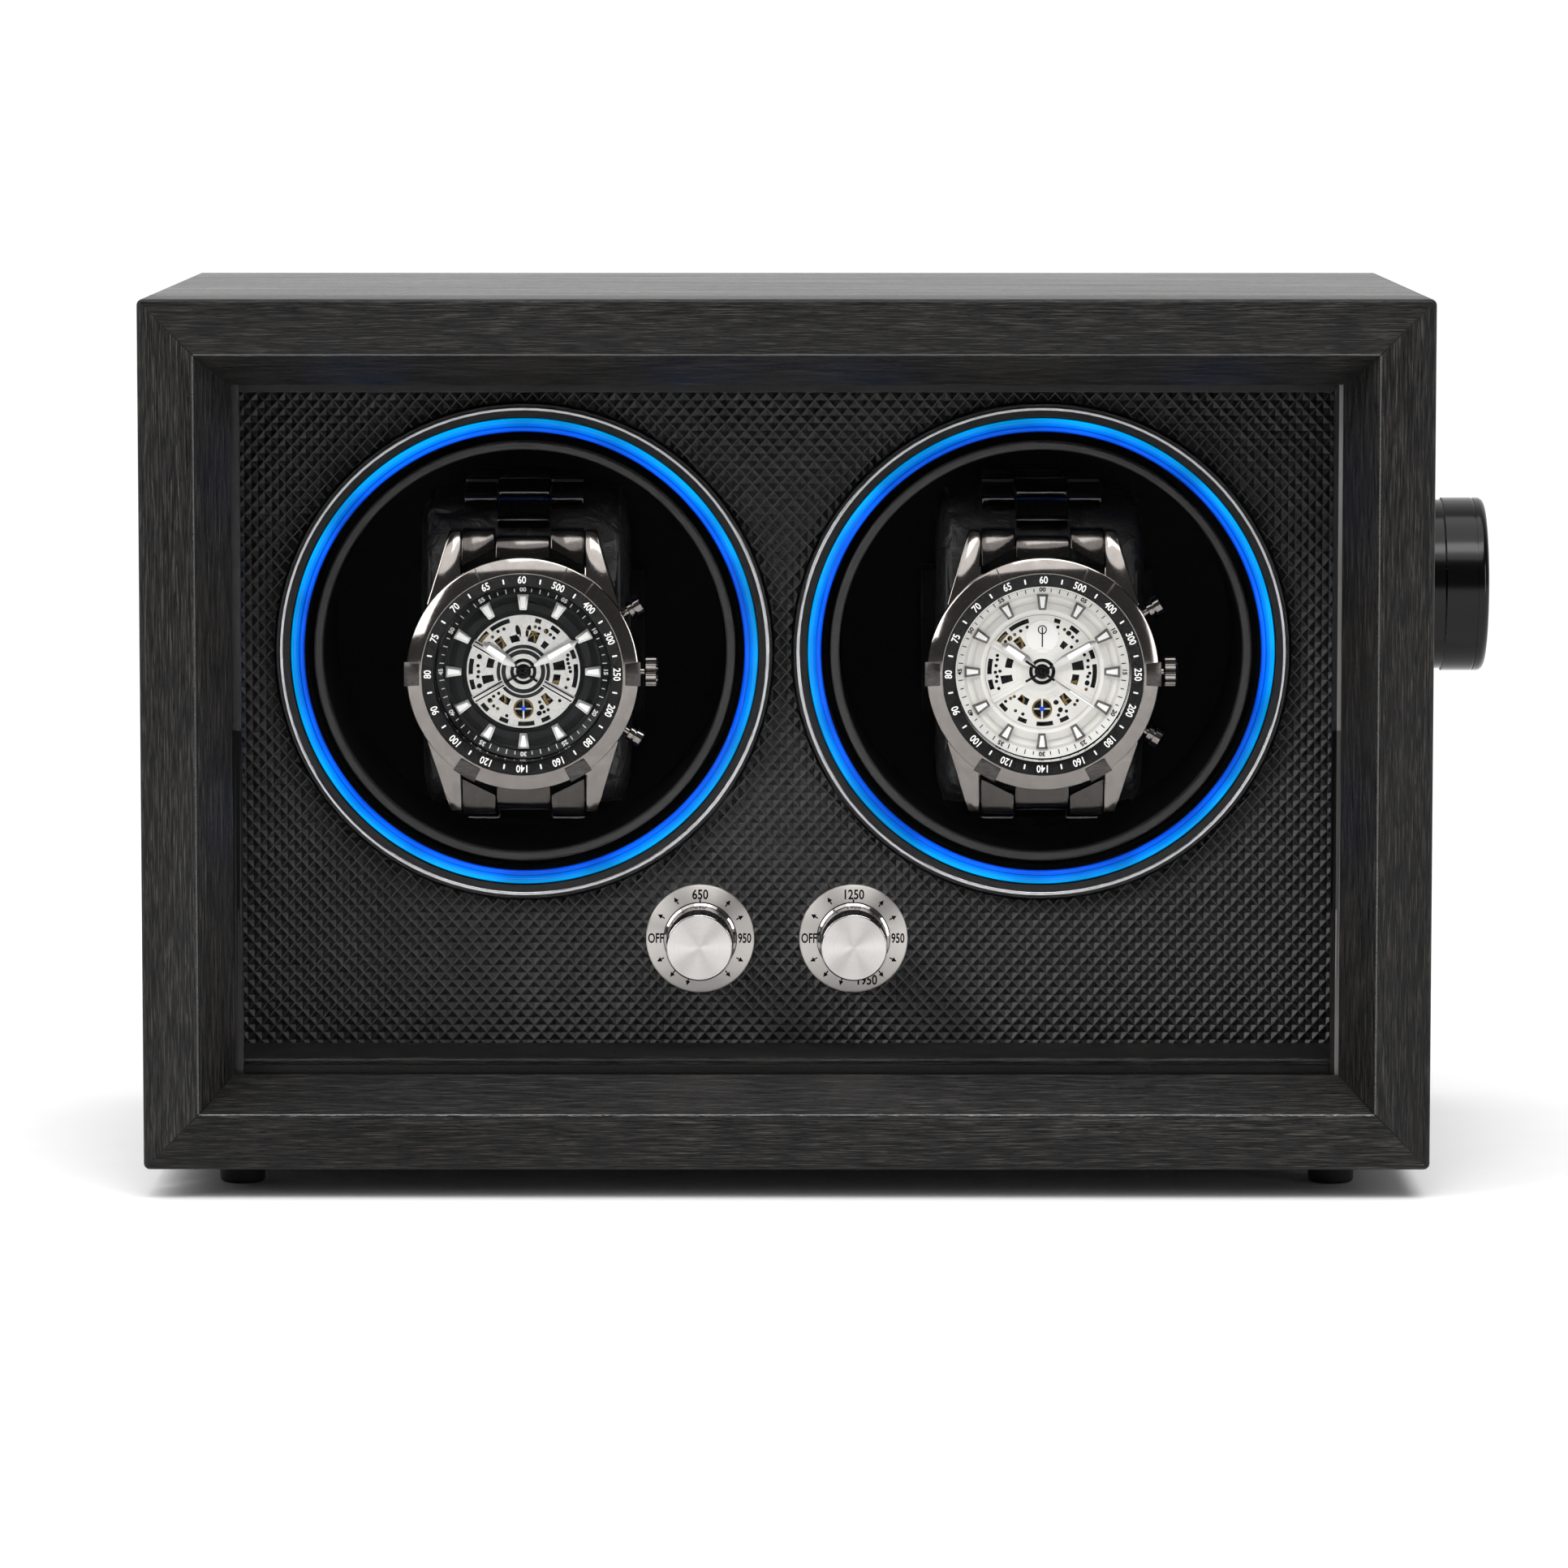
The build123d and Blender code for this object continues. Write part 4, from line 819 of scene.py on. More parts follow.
# %% Light guide rings
guide_radius = guide_outer / MM
guide_depth = (guide_high[1] - guide_low[1]) / MM
bead = (guide_radius - guide_inner / MM) / 4
beads = []
for centre in (guide_radius - bead, guide_radius - 3 * bead):
    beads += [
        (centre + bead * cos(a), bead * 0.9 * sin(a))
        for a in [radians(t) for t in (8, 35, 62, 90, 118, 145, 172)]
    ]
profile = [(r, h - bead * 0.9) for r, h in beads] + [
    (guide_inner / MM, -guide_depth + 0.2), (guide_radius, -guide_depth + 0.2)
]
for side, centre in rotors.items():
    guide = lathe(profile, steps=160)
    for face in guide.faces:
        spot = face.calc_center_median()
        if spot.z < -2 * bead and abs(face.normal.z) < 0.5 or face.normal.z < -0.5:
            face.material_index = 1
    guide.transform(stand(centre.x, guide_low[1], centre.z))
    piece(
        guide, f"light_guide_{side}", [lit_acrylic, satin_abs], "case", ["light_guides"],
        sharp=50.0
    )
print("light guides:", round(guide_radius, 2), "mm radius, beads", round(4 * bead, 2), "mm across")

# %% [markdown]
# ## Speed dials
# Each dial plate is a turned steel disc with numbers engraved and filled black, and the knob before it is
# a polished cylinder whose face is turned, so its highlight fans out from the centre. OFF sits at nine
# o'clock, and the numbers are turns per day. Small arrows and strokes stand between them.

# %% Dial plates and knobs
plate_low, plate_high = corners("dial_plates")
plate_radius = (plate_high.z - plate_low.z) / 2 / MM
scales = {"left": (("650", 0), ("950", 90)), "right": (("1250", 0), ("950", 90), ("1950", 163))}
for side, centre in dials.items():
    plate = bmesh.new()
    rim = plate_radius
    join(
        plate,
        lathe([(3.8, 0), (3.8, 1.0), (rim - 0.35, 1.0), (rim - 0.1, 0.9), (rim, 0.7), (rim, 0)], steps=128)
    )
    # A thin black ring round the knob's foot: painted shade in the gap under the knob.
    join(plate, lathe([(7.05, 0.9), (7.05, 1.04), (7.35, 1.04), (7.35, 0.9)], steps=96), material=1)
    for words, turn in (("OFF", 270), *scales[side]):
        upright = Matrix.Translation((8.85 * sin(radians(turn)), 8.75 * cos(radians(turn)), 1.01))
        join(plate, lettering(words, 2.7, bold=0.06, narrow=0.66 if turn in (90, 270) else 0.8), upright, 1)
    for turn in (38, 62, 118, 142, 196, 218, 242, 300, 328):
        join(plate, slab([(0, 0.75), (-0.5, -0.2), (0.5, -0.2)], 0.04), round_clock(9.0, turn, 1.0), 1)
        join(
            plate,
            slab([(-0.13, -0.1), (-0.13, -0.85), (0.13, -0.85), (0.13, -0.1)], 0.04),
            round_clock(9.0, turn, 1.0),
            1
        )
    for turn in (0, 180):
        join(
            plate,
            slab([(-0.16, 0.3), (-0.16, -0.3), (0.16, -0.3), (0.16, 0.3)], 0.04),
            round_clock(7.55, turn, 1.0),
            1
        )
    plate.transform(stand(centre.x, plate_high.y, centre.z))
    piece(
        plate, f"dial_plate_{side}_engraved", [plate_steel, black_ink_and_painted_shade], "case", ["dial_plates"],
    )

    knob_low = corners(f"speed_knob_{side}")[0]
    reach_mm = (plate_low.y - knob_low.y) / MM
    knob = bmesh.new()
    join(
        knob,
        lathe(
            [
                (0, 0.35), (7.1, 0.35), (7.2, 0.5), (7.15, 0.75), (6.7, 1.0), (6.6, 1.2),
                (6.6, reach_mm - 0.4), (6.5, reach_mm - 0.15), (6.35, reach_mm - 0.05),
                (6.28, reach_mm - 0.04)
            ],
            steps=128,
            closed=False
        ),
        material=0
    )
    join(
        knob,
        lathe(
            [(6.3, reach_mm - 0.08), (6.28, reach_mm - 0.03), (3.0, reach_mm - 0.01), (0, reach_mm)],
            steps=128,
            closed=False
        ),
        material=1
    )
    join(knob, lathe([(0, -11.0), (2.95, -11.0), (2.95, 0.4), (0, 0.4)], steps=32, closed=False), material=0)
    knob.transform(stand(centre.x, plate_low.y, centre.z))
    piece(
        knob, f"speed_knob_{side}_turned", [knob_chrome, knob_steel], f"speed_knob_{side[0]}",
        [f"speed_knob_{side}"]
    )
print("dial plates:", round(2 * plate_radius, 1), "mm across, knobs stand", round(reach_mm, 1), "mm proud")

# %% [markdown]
# ## Cushions
# A winder cushion is a foam block in thin leather. Foam swells the leather into crowned faces, and its
# slack falls into creases. A short cloth simulation with inner pressure does the swelling on an evenly
# meshed block that starts a little small, and a slow wave over its points then adds the creases.

# %% Cushion helpers
ROUND_MM = 11.0
VOXEL_MM = 2.4
SIM_STEPS = 20


def cushion_block(low, high, shrink):
    """The cushion's starting shape: a block with wide rounds, slightly smaller than its room."""
    size = high - low
    middle = (high + low) / 2
    bm = bmesh.new()
    bmesh.ops.create_cube(
        bm,
        size=1.0,
        matrix=Matrix.Translation(middle) @ Matrix.Diagonal(
            (size.x - shrink, size.y - shrink, size.z - shrink, 1)
        )
    )
    lengthwise = [e for e in bm.edges if abs(e.verts[0].co.x - e.verts[1].co.x) > 1 * MM]
    bmesh.ops.bevel(
        bm, geom=lengthwise, offset=ROUND_MM * MM, segments=6, profile=0.5, affect="EDGES", material=-1,
        clamp_overlap=True
    )
    ends = [
        e
        for e in bm.edges
        if abs(e.verts[0].co.x - e.verts[1].co.x) < 0.1 * MM and e.calc_face_angle(0) > radians(60)
    ]
    bmesh.ops.bevel(
        bm, geom=ends, offset=2.5 * MM, segments=3, profile=0.5, affect="EDGES", material=-1,
        clamp_overlap=True
    )
    bmesh.ops.recalc_face_normals(bm, faces=bm.faces)
    return bm


def stuff(pad, cap):
    """Swells a closed mesh like a stuffed cover; no point moves further than cap."""
    bpy.context.view_layer.objects.active = pad
    remesh = pad.modifiers.new("even_mesh", "REMESH")
    remesh.mode = "VOXEL"
    remesh.voxel_size = VOXEL_MM * MM
    bpy.ops.object.modifier_apply(modifier=remesh.name)
    start = [v.co.copy() for v in pad.data.vertices]
    cloth = pad.modifiers.new("stuffing", "CLOTH")
    cloth.settings.use_pressure = True
    cloth.settings.uniform_pressure_force = 4.0
    cloth.settings.effector_weights.gravity = 0.0
    cloth.settings.quality = 4
    cloth.settings.shrink_min = -0.04
    cloth.point_cache.frame_start = 1
    cloth.point_cache.frame_end = SIM_STEPS
    for step in range(1, SIM_STEPS + 1):
        bpy.context.scene.frame_set(step)
    settled = bpy.data.meshes.new_from_object(pad.evaluated_get(bpy.context.evaluated_depsgraph_get()))
    for vertex, was, now in zip(pad.data.vertices, start, settled.vertices):
        moved = now.co - was
        if moved.length > cap:
            moved *= cap / moved.length
        vertex.co = was + moved
    pad.modifiers.remove(cloth)
    bpy.data.meshes.remove(settled)
    bpy.context.scene.frame_set(1)


print("cushions: rounds", ROUND_MM, "mm, cells", VOXEL_MM, "mm")

# %% Cushions
START_SMALLER = 1.6 * MM
SWELL_CAP = 1.1 * MM
CREASE = 0.25 * MM

for side in ("left", "right"):
    low, high = corners(f"cushion_{side}")
    swollen = piece(
        cushion_block(low, high, START_SMALLER), f"cushion_{side}_stuffed", [cushion_hide], f"rotor_{side}",
        [f"cushion_{side}"], sharp=180.0
    )
    stuff(swollen, SWELL_CAP)
    refine = swollen.modifiers.new("refine", "SUBSURF")
    refine.levels = refine.render_levels = 1
    bpy.context.view_layer.objects.active = swollen
    bpy.ops.object.modifier_apply(modifier=refine.name)
    for point in swollen.data.vertices:
        fold = sin(
            point.co.z / (5.5 * MM) + 3 * sin(point.co.x / (9 * MM))
        ) * sin(point.co.x / (7 * MM) + point.co.z / (11 * MM))
        outwards = 1 if point.co.y < (low.y + high.y) / 2 else -1
        point.co.y += outwards * CREASE * (fold - 1)
    swollen.data.shade_smooth()
    print("cushion", side, "spans", [round((b - a) / MM, 1) for a, b in zip(low, high)])

# %% [markdown]
# ## Piping
# The seams near a cushion's sides are piped: leather is wrapped round a thin cord and sewn in. Each
# piping is a closed curve on a rounded rectangle, a superellipse, with a round bevel that becomes its
# thickness.

# %% Cushion piping
SEAM_OFFSET = 18.6 * MM
PIPING_R = 0.55 * MM
SUNK = 0.35 * MM
SQUARENESS = 3.4


def squared(part):
    """A circle's coordinate pushed out towards a rounded square's."""
    return abs(part) ** (2 / SQUARENESS) * (1 if part > 0 else -1)


for side in ("left", "right"):
    low, high = corners(f"cushion_{side}")
    piping = bmesh.new()
    centre = (low + high) / 2
    loop_h = (high.z - low.z) / 2 - SUNK
    loop_d = (high.y - low.y) / 2 - SUNK
    for end in (-1, 1):
        outline = bmesh.new()
        bmesh.ops.create_circle(outline, segments=96, radius=1.0)
        ring_points = []
        for v in outline.verts:
            a = atan2(v.co.y, v.co.x)
            around = Vector((end * SEAM_OFFSET, loop_d * squared(cos(a)), loop_h * squared(sin(a))))
            ring_points.append(centre + around)
        outline.free()
        curve = bpy.data.curves.new("piping", "CURVE")
        curve.dimensions = "3D"
        curve.bevel_depth = PIPING_R
        curve.bevel_resolution = 2
        spline = curve.splines.new("POLY")
        spline.points.add(len(ring_points) - 1)
        for target, source in zip(spline.points, ring_points):
            target.co = (*source, 1)
        spline.use_cyclic_u = True
        join(piping, curve_part(curve))
    made = piece(
        piping, f"cushion_{side}_piping", [seam_thread], f"rotor_{side}",
        sharp=180.0
    )
    print(made.name, len(made.data.polygons), "faces")

# %% [markdown]
# ## Watch cases
# The middle case is a turned drum with four lugs that taper and slope towards their tips. The drum is
# lathed, and a lug is a thickened outline that a shear leans backwards and a negative scale mirrors to
# the four corners.

# %% Watch looks and case builder
WATCHES = {
    "left": {
        "base": black_enamel, "ring": grey_enamel, "marks": white_ink_painted_glow, "index": lume_white_painted_glow,
        "frame": bright_steel, "plate": bridge_silver, "seed": 4, "subdial": False, "slot": "dial_black"
    },
    "right": {
        "base": white_enamel_painted_glow, "ring": pale_enamel_painted_glow, "marks": black_ink_and_painted_shade, "index": lume_white_painted_glow,
        "frame": index_rhodium, "plate": bridge_white_painted_glow, "seed": 9, "subdial": True, "slot": "dial_white"
    },
}
CASE_R = 21.7
LUG_LEAN = 0.34


def watch_case_piece(side, centre, back_y, case_front_y):
    """Middle case and lugs."""
    thick = (back_y - case_front_y) / MM
    body = bmesh.new()
    join(
        body,
        lathe(
            [
                (0, 0), (17.0, 0), (18.5, 0.6), (CASE_R - 0.4, 1.4), (CASE_R, 2.6), (CASE_R, thick - 0.8),
                (CASE_R - 0.5, thick), (17.8, thick), (17.8, thick - 5.0), (0, thick - 5.0)
            ],
            closed=False
        ),
        material=1
    )
    plan = [
        (12.15, 27.9), (14.5, 27.9), (15.3, 25.4), (17.0, 19.6), (18.9, 13.5), (16.6, 12.6), (12.15, 16.6)
    ]
    for right in (1, -1):
        for up in (1, -1):
            lug = slab(plan, 5.4, 0.35)
            lean = Matrix.Identity(4)
            lean[2][1] = -LUG_LEAN
            lug.transform(Matrix.Translation((0, 0, thick - 5.2 + LUG_LEAN * 14.0)) @ lean)
            lug.transform(Matrix.Diagonal((right, up, 1, 1)))
            bmesh.ops.recalc_face_normals(lug, faces=lug.faces)
            join(body, lug)
    body.transform(stand(centre.x, back_y, centre.z))
    return piece(
        body, f"watch_{side}_middle", [polished_steel, link_steel], f"rotor_{side}", [f"watch_{side}_case"],
    )


print("watch case:", round(2 * CASE_R, 1), "mm across")

# %% [markdown]
# ## Bezels
# On the case sits a bezel of polished steel with four brushed blocks on its edge and three fine grooves,
# and inside it a black ring with a speed scale: the numbers are the speed, per hour, of something that
# took that many seconds for one kilometre or mile. The numbers are generic, as on any such watch.

# %% Bezel builder
BEZEL_R = 22.9
INSERT_OUT = 19.75
INSERT_IN = 17.3
SCALE_R = 18.55
SPEEDS = [
    "60", "500", "400", "300", "250", "200", "180", "160", "140", "120", "100", "90", "80", "75", "70", "65",
]


def watch_bezel_piece(side, centre, case_front_y, thick):
    """Bezel ring, its brushed blocks, and the printed scale ring."""
    ring = bmesh.new()
    join(
        ring,
        lathe(
            [
                (INSERT_IN, 0), (INSERT_IN, thick - 0.5), (INSERT_IN + 0.15, thick - 0.35),
                (INSERT_OUT - 0.1, thick - 0.25), (INSERT_OUT, thick - 0.25),
                (INSERT_OUT + 0.05, thick - 0.04), (INSERT_OUT + 0.2, thick),
                (BEZEL_R - 0.35, thick - 0.85), (BEZEL_R - 0.1, thick - 1.0), (BEZEL_R, thick - 1.3),
                (BEZEL_R, 0.4), (BEZEL_R - 0.5, 0)
            ],
            steps=144
        )
    )
    for face in ring.faces:
        r = face.calc_center_median().xy.length
        if INSERT_IN < r < INSERT_OUT and face.normal.z > 0.5:
            face.material_index = 1
    for turn in (90, 270, 150, 210):
        chip = slab([(-2.2, -1.45), (2.2, -1.45), (2.4, 1.6), (-2.4, 1.6)], 1.5, 0.15)
        tilt = Matrix.Rotation(radians(-15), 4, "X")
        join(ring, chip, round_clock(21.35, turn, thick - 1.75) @ tilt, 2)
    for turn in (-24, 23, 38):
        groove = block(0.28, 2.9, 0.35, 0.05)
        join(ring, groove, round_clock(21.3, turn, thick - 0.48) @ Matrix.Rotation(radians(-16), 4, "X"), 2)
    for n, words in enumerate(SPEEDS):
        turn = n * 360 / len(SPEEDS)
        number = lettering(words, 2.0, bold=0.03, narrow=0.85)
        join(ring, number, round_clock(SCALE_R, turn, thick - 0.27), 3)
        join(ring, block(0.3, 0.95, 0.05), round_clock(SCALE_R, turn + 180 / len(SPEEDS), thick - 0.28), 3)
    ring.transform(stand(centre.x, case_front_y, centre.z))
    return piece(
        ring, f"watch_{side}_bezel_scale", [polished_steel, gloss_abs, dark_steel, white_ink_painted_glow],
        f"rotor_{side}", [f"watch_{side}_bezel"], sharp=25.0
    )


print("bezel:", 2 * BEZEL_R, "mm across,", len(SPEEDS), "numbers")

# %% [markdown]
# ## Skeleton plates
# A skeleton watch shows its wheels through a plate that is cut away between four arms. A filled flat
# curve does this best: its first loop is the plate's rim, and every further loop inside it becomes an
# opening. The rim has slots, the middle has windows, and small holes of many sizes are scattered between
# them by seeded chance, kept apart from each other and off the arms.

# %% Skeleton plate builder


def pierced_plate(radius, holes, arcs, height):
    """A flat disc with elliptic holes (x, y, half width, half height, turn) and curved slots.

    A slot is (from, to, inner, outer): two clock angles and two radii.
    """
    curve = bpy.data.curves.new("plate", "CURVE")
    curve.dimensions = "2D"
    curve.fill_mode = "BOTH"
    curve.extrude = height / 2
    for x, y, wide, tall, turn, count in [(0, 0, radius, radius, 0, 96), *[(*h, 14) for h in holes]]:
        spline = curve.splines.new("POLY")
        spline.points.add(count - 1)
        for n, point in enumerate(spline.points):
            a = 2 * pi * n / count
            u, v = wide * cos(a), tall * sin(a)
            point.co = (x + u * cos(turn) - v * sin(turn), y + u * sin(turn) + v * cos(turn), 0, 1)
        spline.use_cyclic_u = True
    for first, last, inner, outer in arcs:
        turns = [radians(first + (last - first) * n / 7) for n in range(8)]
        outline = [(outer * sin(t), outer * cos(t)) for t in turns]
        outline += [(inner * sin(t), inner * cos(t)) for t in reversed(turns)]
        spline = curve.splines.new("POLY")
        spline.points.add(len(outline) - 1)
        for point, (x, y) in zip(spline.points, outline):
            point.co = (x, y, 0, 1)
        spline.use_cyclic_u = True
    return curve_part(curve)


RIM_SLOTS = [
    (302, 318), (322, 345), (13, 20), (32, 43), (66, 76), (82, 108),
    (250, 261), (267, 284), (197, 207), (150, 160), (168, 186), (222, 232),
]
WINDOWS = [
    (338, 354), (8, 24), (34, 44), (74, 88), (95, 112), (134, 146), (204, 222), (252, 264), (276, 292),
    (316, 328)
]


def skeleton_holes(seed):
    """Scattered small openings between the four bridge arms."""
    rng = random.Random(seed)
    holes = []
    for _ in range(6000):
        if len(holes) == 60:
            break
        a, r = rng.uniform(0, 2 * pi), rng.uniform(5.9, 9.6)
        wide, tall = rng.choice(
            [(0.35, 0.35), (0.55, 0.5), (0.8, 0.6), (0.5, 1.3), (1.1, 0.8), (0.7, 1.6), (0.9, 1.2)]
        )
        arm = min(abs((a - radians(t) + pi) % (2 * pi) - pi) for t in (30, 150, 210, 330))
        far = r + max(wide, tall) < 9.75 and r - max(wide, tall) > 5.4
        clock = (90 - a * 180 / pi) % 360
        reach = max(wide, tall) / r * 180 / pi + 3
        in_window = r - max(wide, tall) < 8.6 and any(
            first - reach < clock < last + reach for first, last in WINDOWS
        )
        if arm * r < 0.9 + max(wide, tall) or not far or in_window:
            continue
        x, y = r * cos(a), r * sin(a)
        if all(
            (x - h[0]) ** 2 + (y - h[1]) ** 2 > (0.8 * (max(wide, tall) + max(h[2], h[3])) + 0.2) ** 2
            for h in holes
        ):
            holes.append((x, y, wide, tall, rng.uniform(0, pi)))
    return holes


print("plate:", len(RIM_SLOTS), "rim slots,", len(WINDOWS), "windows")

# %% [markdown]
# ## Dials
# The dial is a stack: a base, a chapter ring whose slope carries the minutes, twelve applied hour bars
# filled with lume, wheels underneath, the skeleton plate over them, its four arms, and rings round the
# middle. The right watch adds a small raised dial at the top. Each part takes one of nine finishes by its
# place in a list.

# %% Dial builder
BASE, RING, MARKS, BAR, LUME, PLATE, WHEEL, JEWEL, DARK = range(9)
BALANCE = Matrix.Translation((0, -7.4, 0))


def hour_marks(dial):
    """Minute strokes and numbers on the chapter slope, and the applied hour bars."""
    slope = Matrix.Rotation(radians(26), 4, "X")
    for minute in range(60):
        if minute % 5:
            stroke = block(0.17, 0.7 if minute % 2 else 1.0, 0.05)
            join(dial, stroke, round_clock(16.15, minute * 6, 1.94) @ slope, MARKS)
        else:
            number = lettering(f"{minute:02d}", 1.3, bold=0.04)
            join(dial, number, round_clock(16.25, minute * 6, 2.0) @ slope, MARKS)
    for hour in range(12):
        bar = slab([(-0.7, -1.55), (0.7, -1.55), (1.15, 1.55), (-1.15, 1.55)], 0.75, 0.12)
        join(dial, bar, round_clock(13.75, hour * 30, 1.25), BAR)
        fill = slab([(-0.3, -1.1), (0.3, -1.1), (0.6, 1.15), (-0.6, 1.15)], 0.06)
        join(dial, fill, round_clock(13.75, hour * 30, 2.0), LUME)


def wheels(dial):
    """Four spoked wheels under the plate."""
    for x, y, r in ((2.2, 7.4, 2.4), (-6.2, 5.0, 2.6), (6.6, -4.6, 2.8), (-5.6, -5.6, 2.2)):
        rim = lathe([(r, 0.62), (r, 0.8), (r * 0.82, 0.8), (r * 0.82, 0.62)], steps=32)
        join(dial, rim, Matrix.Translation((x, y, 0)), WHEEL)
        for spoke in range(3):
            turn = Matrix.Rotation(spoke * pi / 3, 4, "Z")
            join(dial, block(0.3, 1.7 * r, 0.14), Matrix.Translation((x, y, 0.72)) @ turn, WHEEL)


def skeleton(dial, seed):
    """The pierced plate and its four arms, each with two dark grooves."""
    slots = [(first, last, 9.95, 10.85) for first, last in RIM_SLOTS]
    slots += [(first, last, 6.0, 7.4 + 0.9 * (n % 2)) for n, (first, last) in enumerate(WINDOWS)]
    holes = [
        (0, -7.4, 2.0, 2.0, 0), (-1.0, 8.0, 0.5, 1.25, 0.25), (1.0, 8.0, 0.5, 1.25, -0.25),
        (0, 0, 5.1, 5.1, 0)
    ]
    for hole in skeleton_holes(seed):
        off_balance = hole[0] ** 2 + (hole[1] + 7.4) ** 2 > 9.2
        if off_balance and abs(hole[0]) + abs(hole[1] - 8.0) > 3.0:
            holes.append(hole)
    join(dial, pierced_plate(11.2, holes, slots, 0.35), Matrix.Translation((0, 0, 1.05)), PLATE)
    for turn in (60, 120, 240, 300):
        arm = bmesh.new()
        join(arm, block(1.5, 7.0, 0.4, 0.1), None, PLATE)
        for across in (0.42, -0.42):
            join(arm, block(0.28, 6.6, 0.1), Matrix.Translation((across, 0, 0.22)), BASE)
        join(dial, arm, round_clock(7.9, turn, 1.35), None)


def middle_rings(dial):
    """The rings round the hands' post, and the balance with its jewel below them."""
    join(dial, lathe([(5.3, 0.9), (5.3, 1.4), (3.5, 1.4), (3.5, 0.9)], steps=64), material=RING)
    join(dial, lathe([(4.6, 1.4), (4.6, 1.48), (4.35, 1.48), (4.35, 1.4)], steps=64), material=PLATE)
    join(dial, lathe([(3.5, 0.9), (3.5, 1.55), (2.6, 1.55), (2.6, 0.9)], steps=48), material=PLATE)
    join(dial, lathe([(0, 0.7), (2.6, 0.7), (2.6, 1.0), (0, 1.0)], steps=48, closed=False), material=DARK)
    join(dial, lathe([(1.9, 1.0), (1.9, 1.3), (1.5, 1.3), (1.5, 1.0)], steps=32), material=PLATE)
    join(dial, lathe([(2.0, 0.9), (2.0, 1.3), (1.65, 1.3), (1.65, 0.9)], steps=40), BALANCE, WHEEL)
    join(dial, block(0.35, 4.2, 0.3, 0.05), BALANCE @ Matrix.Translation((0, 0, 1.25)), PLATE)
    join(dial, block(4.2, 0.22, 0.2), BALANCE @ Matrix.Translation((0, 0, 1.15)), PLATE)
    jewel = lathe([(0, 1.0), (0.5, 1.0), (0.4, 1.6), (0, 1.7)], steps=20, closed=False)
    join(dial, jewel, BALANCE, JEWEL)


def small_dial(dial):
    """A raised dial with one short hand and its ring."""
    disc = lathe([(0, 1.2), (3.2, 1.2), (3.2, 1.42), (0, 1.42)], steps=48, closed=False)
    join(dial, disc, Matrix.Translation((0, 7.0, 0)), BASE)
    needle = slab([(-0.12, -2.3), (0.12, -2.3), (0.12, 1.6), (-0.12, 1.6)], 0.08)
    join(dial, needle, Matrix.Translation((0, 7.2, 1.42)), DARK)
    loop = lathe([(0.9, 1.42), (0.9, 1.5), (0.7, 1.5), (0.7, 1.42)], steps=24)
    join(dial, loop, Matrix.Translation((0, 8.3, 0)), DARK)


def watch_dial_piece(side, centre, dial_y, look):
    """Chapter ring, hour bars, skeleton plate and wheels."""
    dial = bmesh.new()
    chapter = [(11.25, 0), (17.1, 0), (17.1, 2.4), (16.9, 2.3), (15.6, 1.5), (15.5, 0.9), (11.25, 0.9)]
    join(dial, lathe(chapter), material=BASE)
    join(dial, lathe([(0, 0), (11.2, 0), (11.2, 0.6), (0, 0.6)], closed=False), material=DARK)
    join(dial, lathe([(15.5, 0.9), (15.5, 1.3), (14.9, 1.3), (14.9, 0.9)]), material=RING)
    join(dial, lathe([(13.6, 0.9), (13.6, 1.3), (12.2, 1.3), (12.2, 0.9)]), material=RING)
    hour_marks(dial)
    wheels(dial)
    skeleton(dial, look["seed"])
    middle_rings(dial)
    if look["subdial"]:
        small_dial(dial)
    dial.transform(stand(centre.x, dial_y, centre.z))
    own = [look[part] for part in ("base", "ring", "marks", "frame", "index", "plate")]
    finishes = [*own, gear_brass, blue_jewel_painted_glow, black_enamel]
    return piece(
        dial, f"watch_{side}_open_dial", finishes, f"rotor_{side}", [f"watch_{side}_dial"],
        sharp=30.0
    )


print("dial finishes:", DARK + 1)

# %% [markdown]
# ## Hands
# A sports watch's hands are steel blades with a narrow black stem and a stripe of lume, so that they read
# in the dark. Each one is a few thickened outlines and a ring for its post, turned to its clock angle.

# %% Hand builder


def hand_piece(side, name, centre, y, length, tail, width, turn, body):
    """A steel hand with a lume stripe, at its clock angle."""
    hand = bmesh.new()
    point_to = Matrix.Rotation(-radians(turn), 4, "Z")
    stem = slab([(-0.24, -tail), (0.24, -tail), (0.2, length * 0.4), (-0.2, length * 0.4)], 0.2, 0.04)
    join(hand, stem, point_to, 2)
    half = width / 2
    blade = slab(
        [
            (-0.22, length * 0.2), (0.22, length * 0.2), (half, length * 0.4), (half * 0.85, length * 0.88),
            (0, length), (-half * 0.85, length * 0.88), (-half, length * 0.4)
        ],
        0.24,
        0.05
    )
    join(hand, blade, point_to, 0)
    stripe = slab(
        [
            (-half * 0.55, length * 0.46), (half * 0.55, length * 0.46), (half * 0.45, length * 0.86),
            (-half * 0.45, length * 0.86)
        ],
        0.05
    )
    join(hand, stripe, point_to @ Matrix.Translation((0, 0, 0.24)), 1)
    join(hand, lathe([(0.52, 0), (0.52, 0.26), (1.0, 0.26), (1.0, 0)], steps=32), None, 2)
    hand.transform(stand(centre.x, y, centre.z))
    return piece(
        hand, f"watch_{side}_{name}_lumed", [bright_steel, lume_white_painted_glow, black_enamel], body,
        [f"watch_{side}_{name}"]
    )


print("hand finishes:", bright_steel.name, lume_white_painted_glow.name)

# %% [markdown]
# ## Crowns and pushers
# The winding crown is fluted so that fingers grip it, with a polished cap. The pushers are turned: a
# collar, a waist and a cap. Both are modelled standing up and then laid along their own line out of the
# case.

# %% Crown and pusher builders
FLUTES = 72


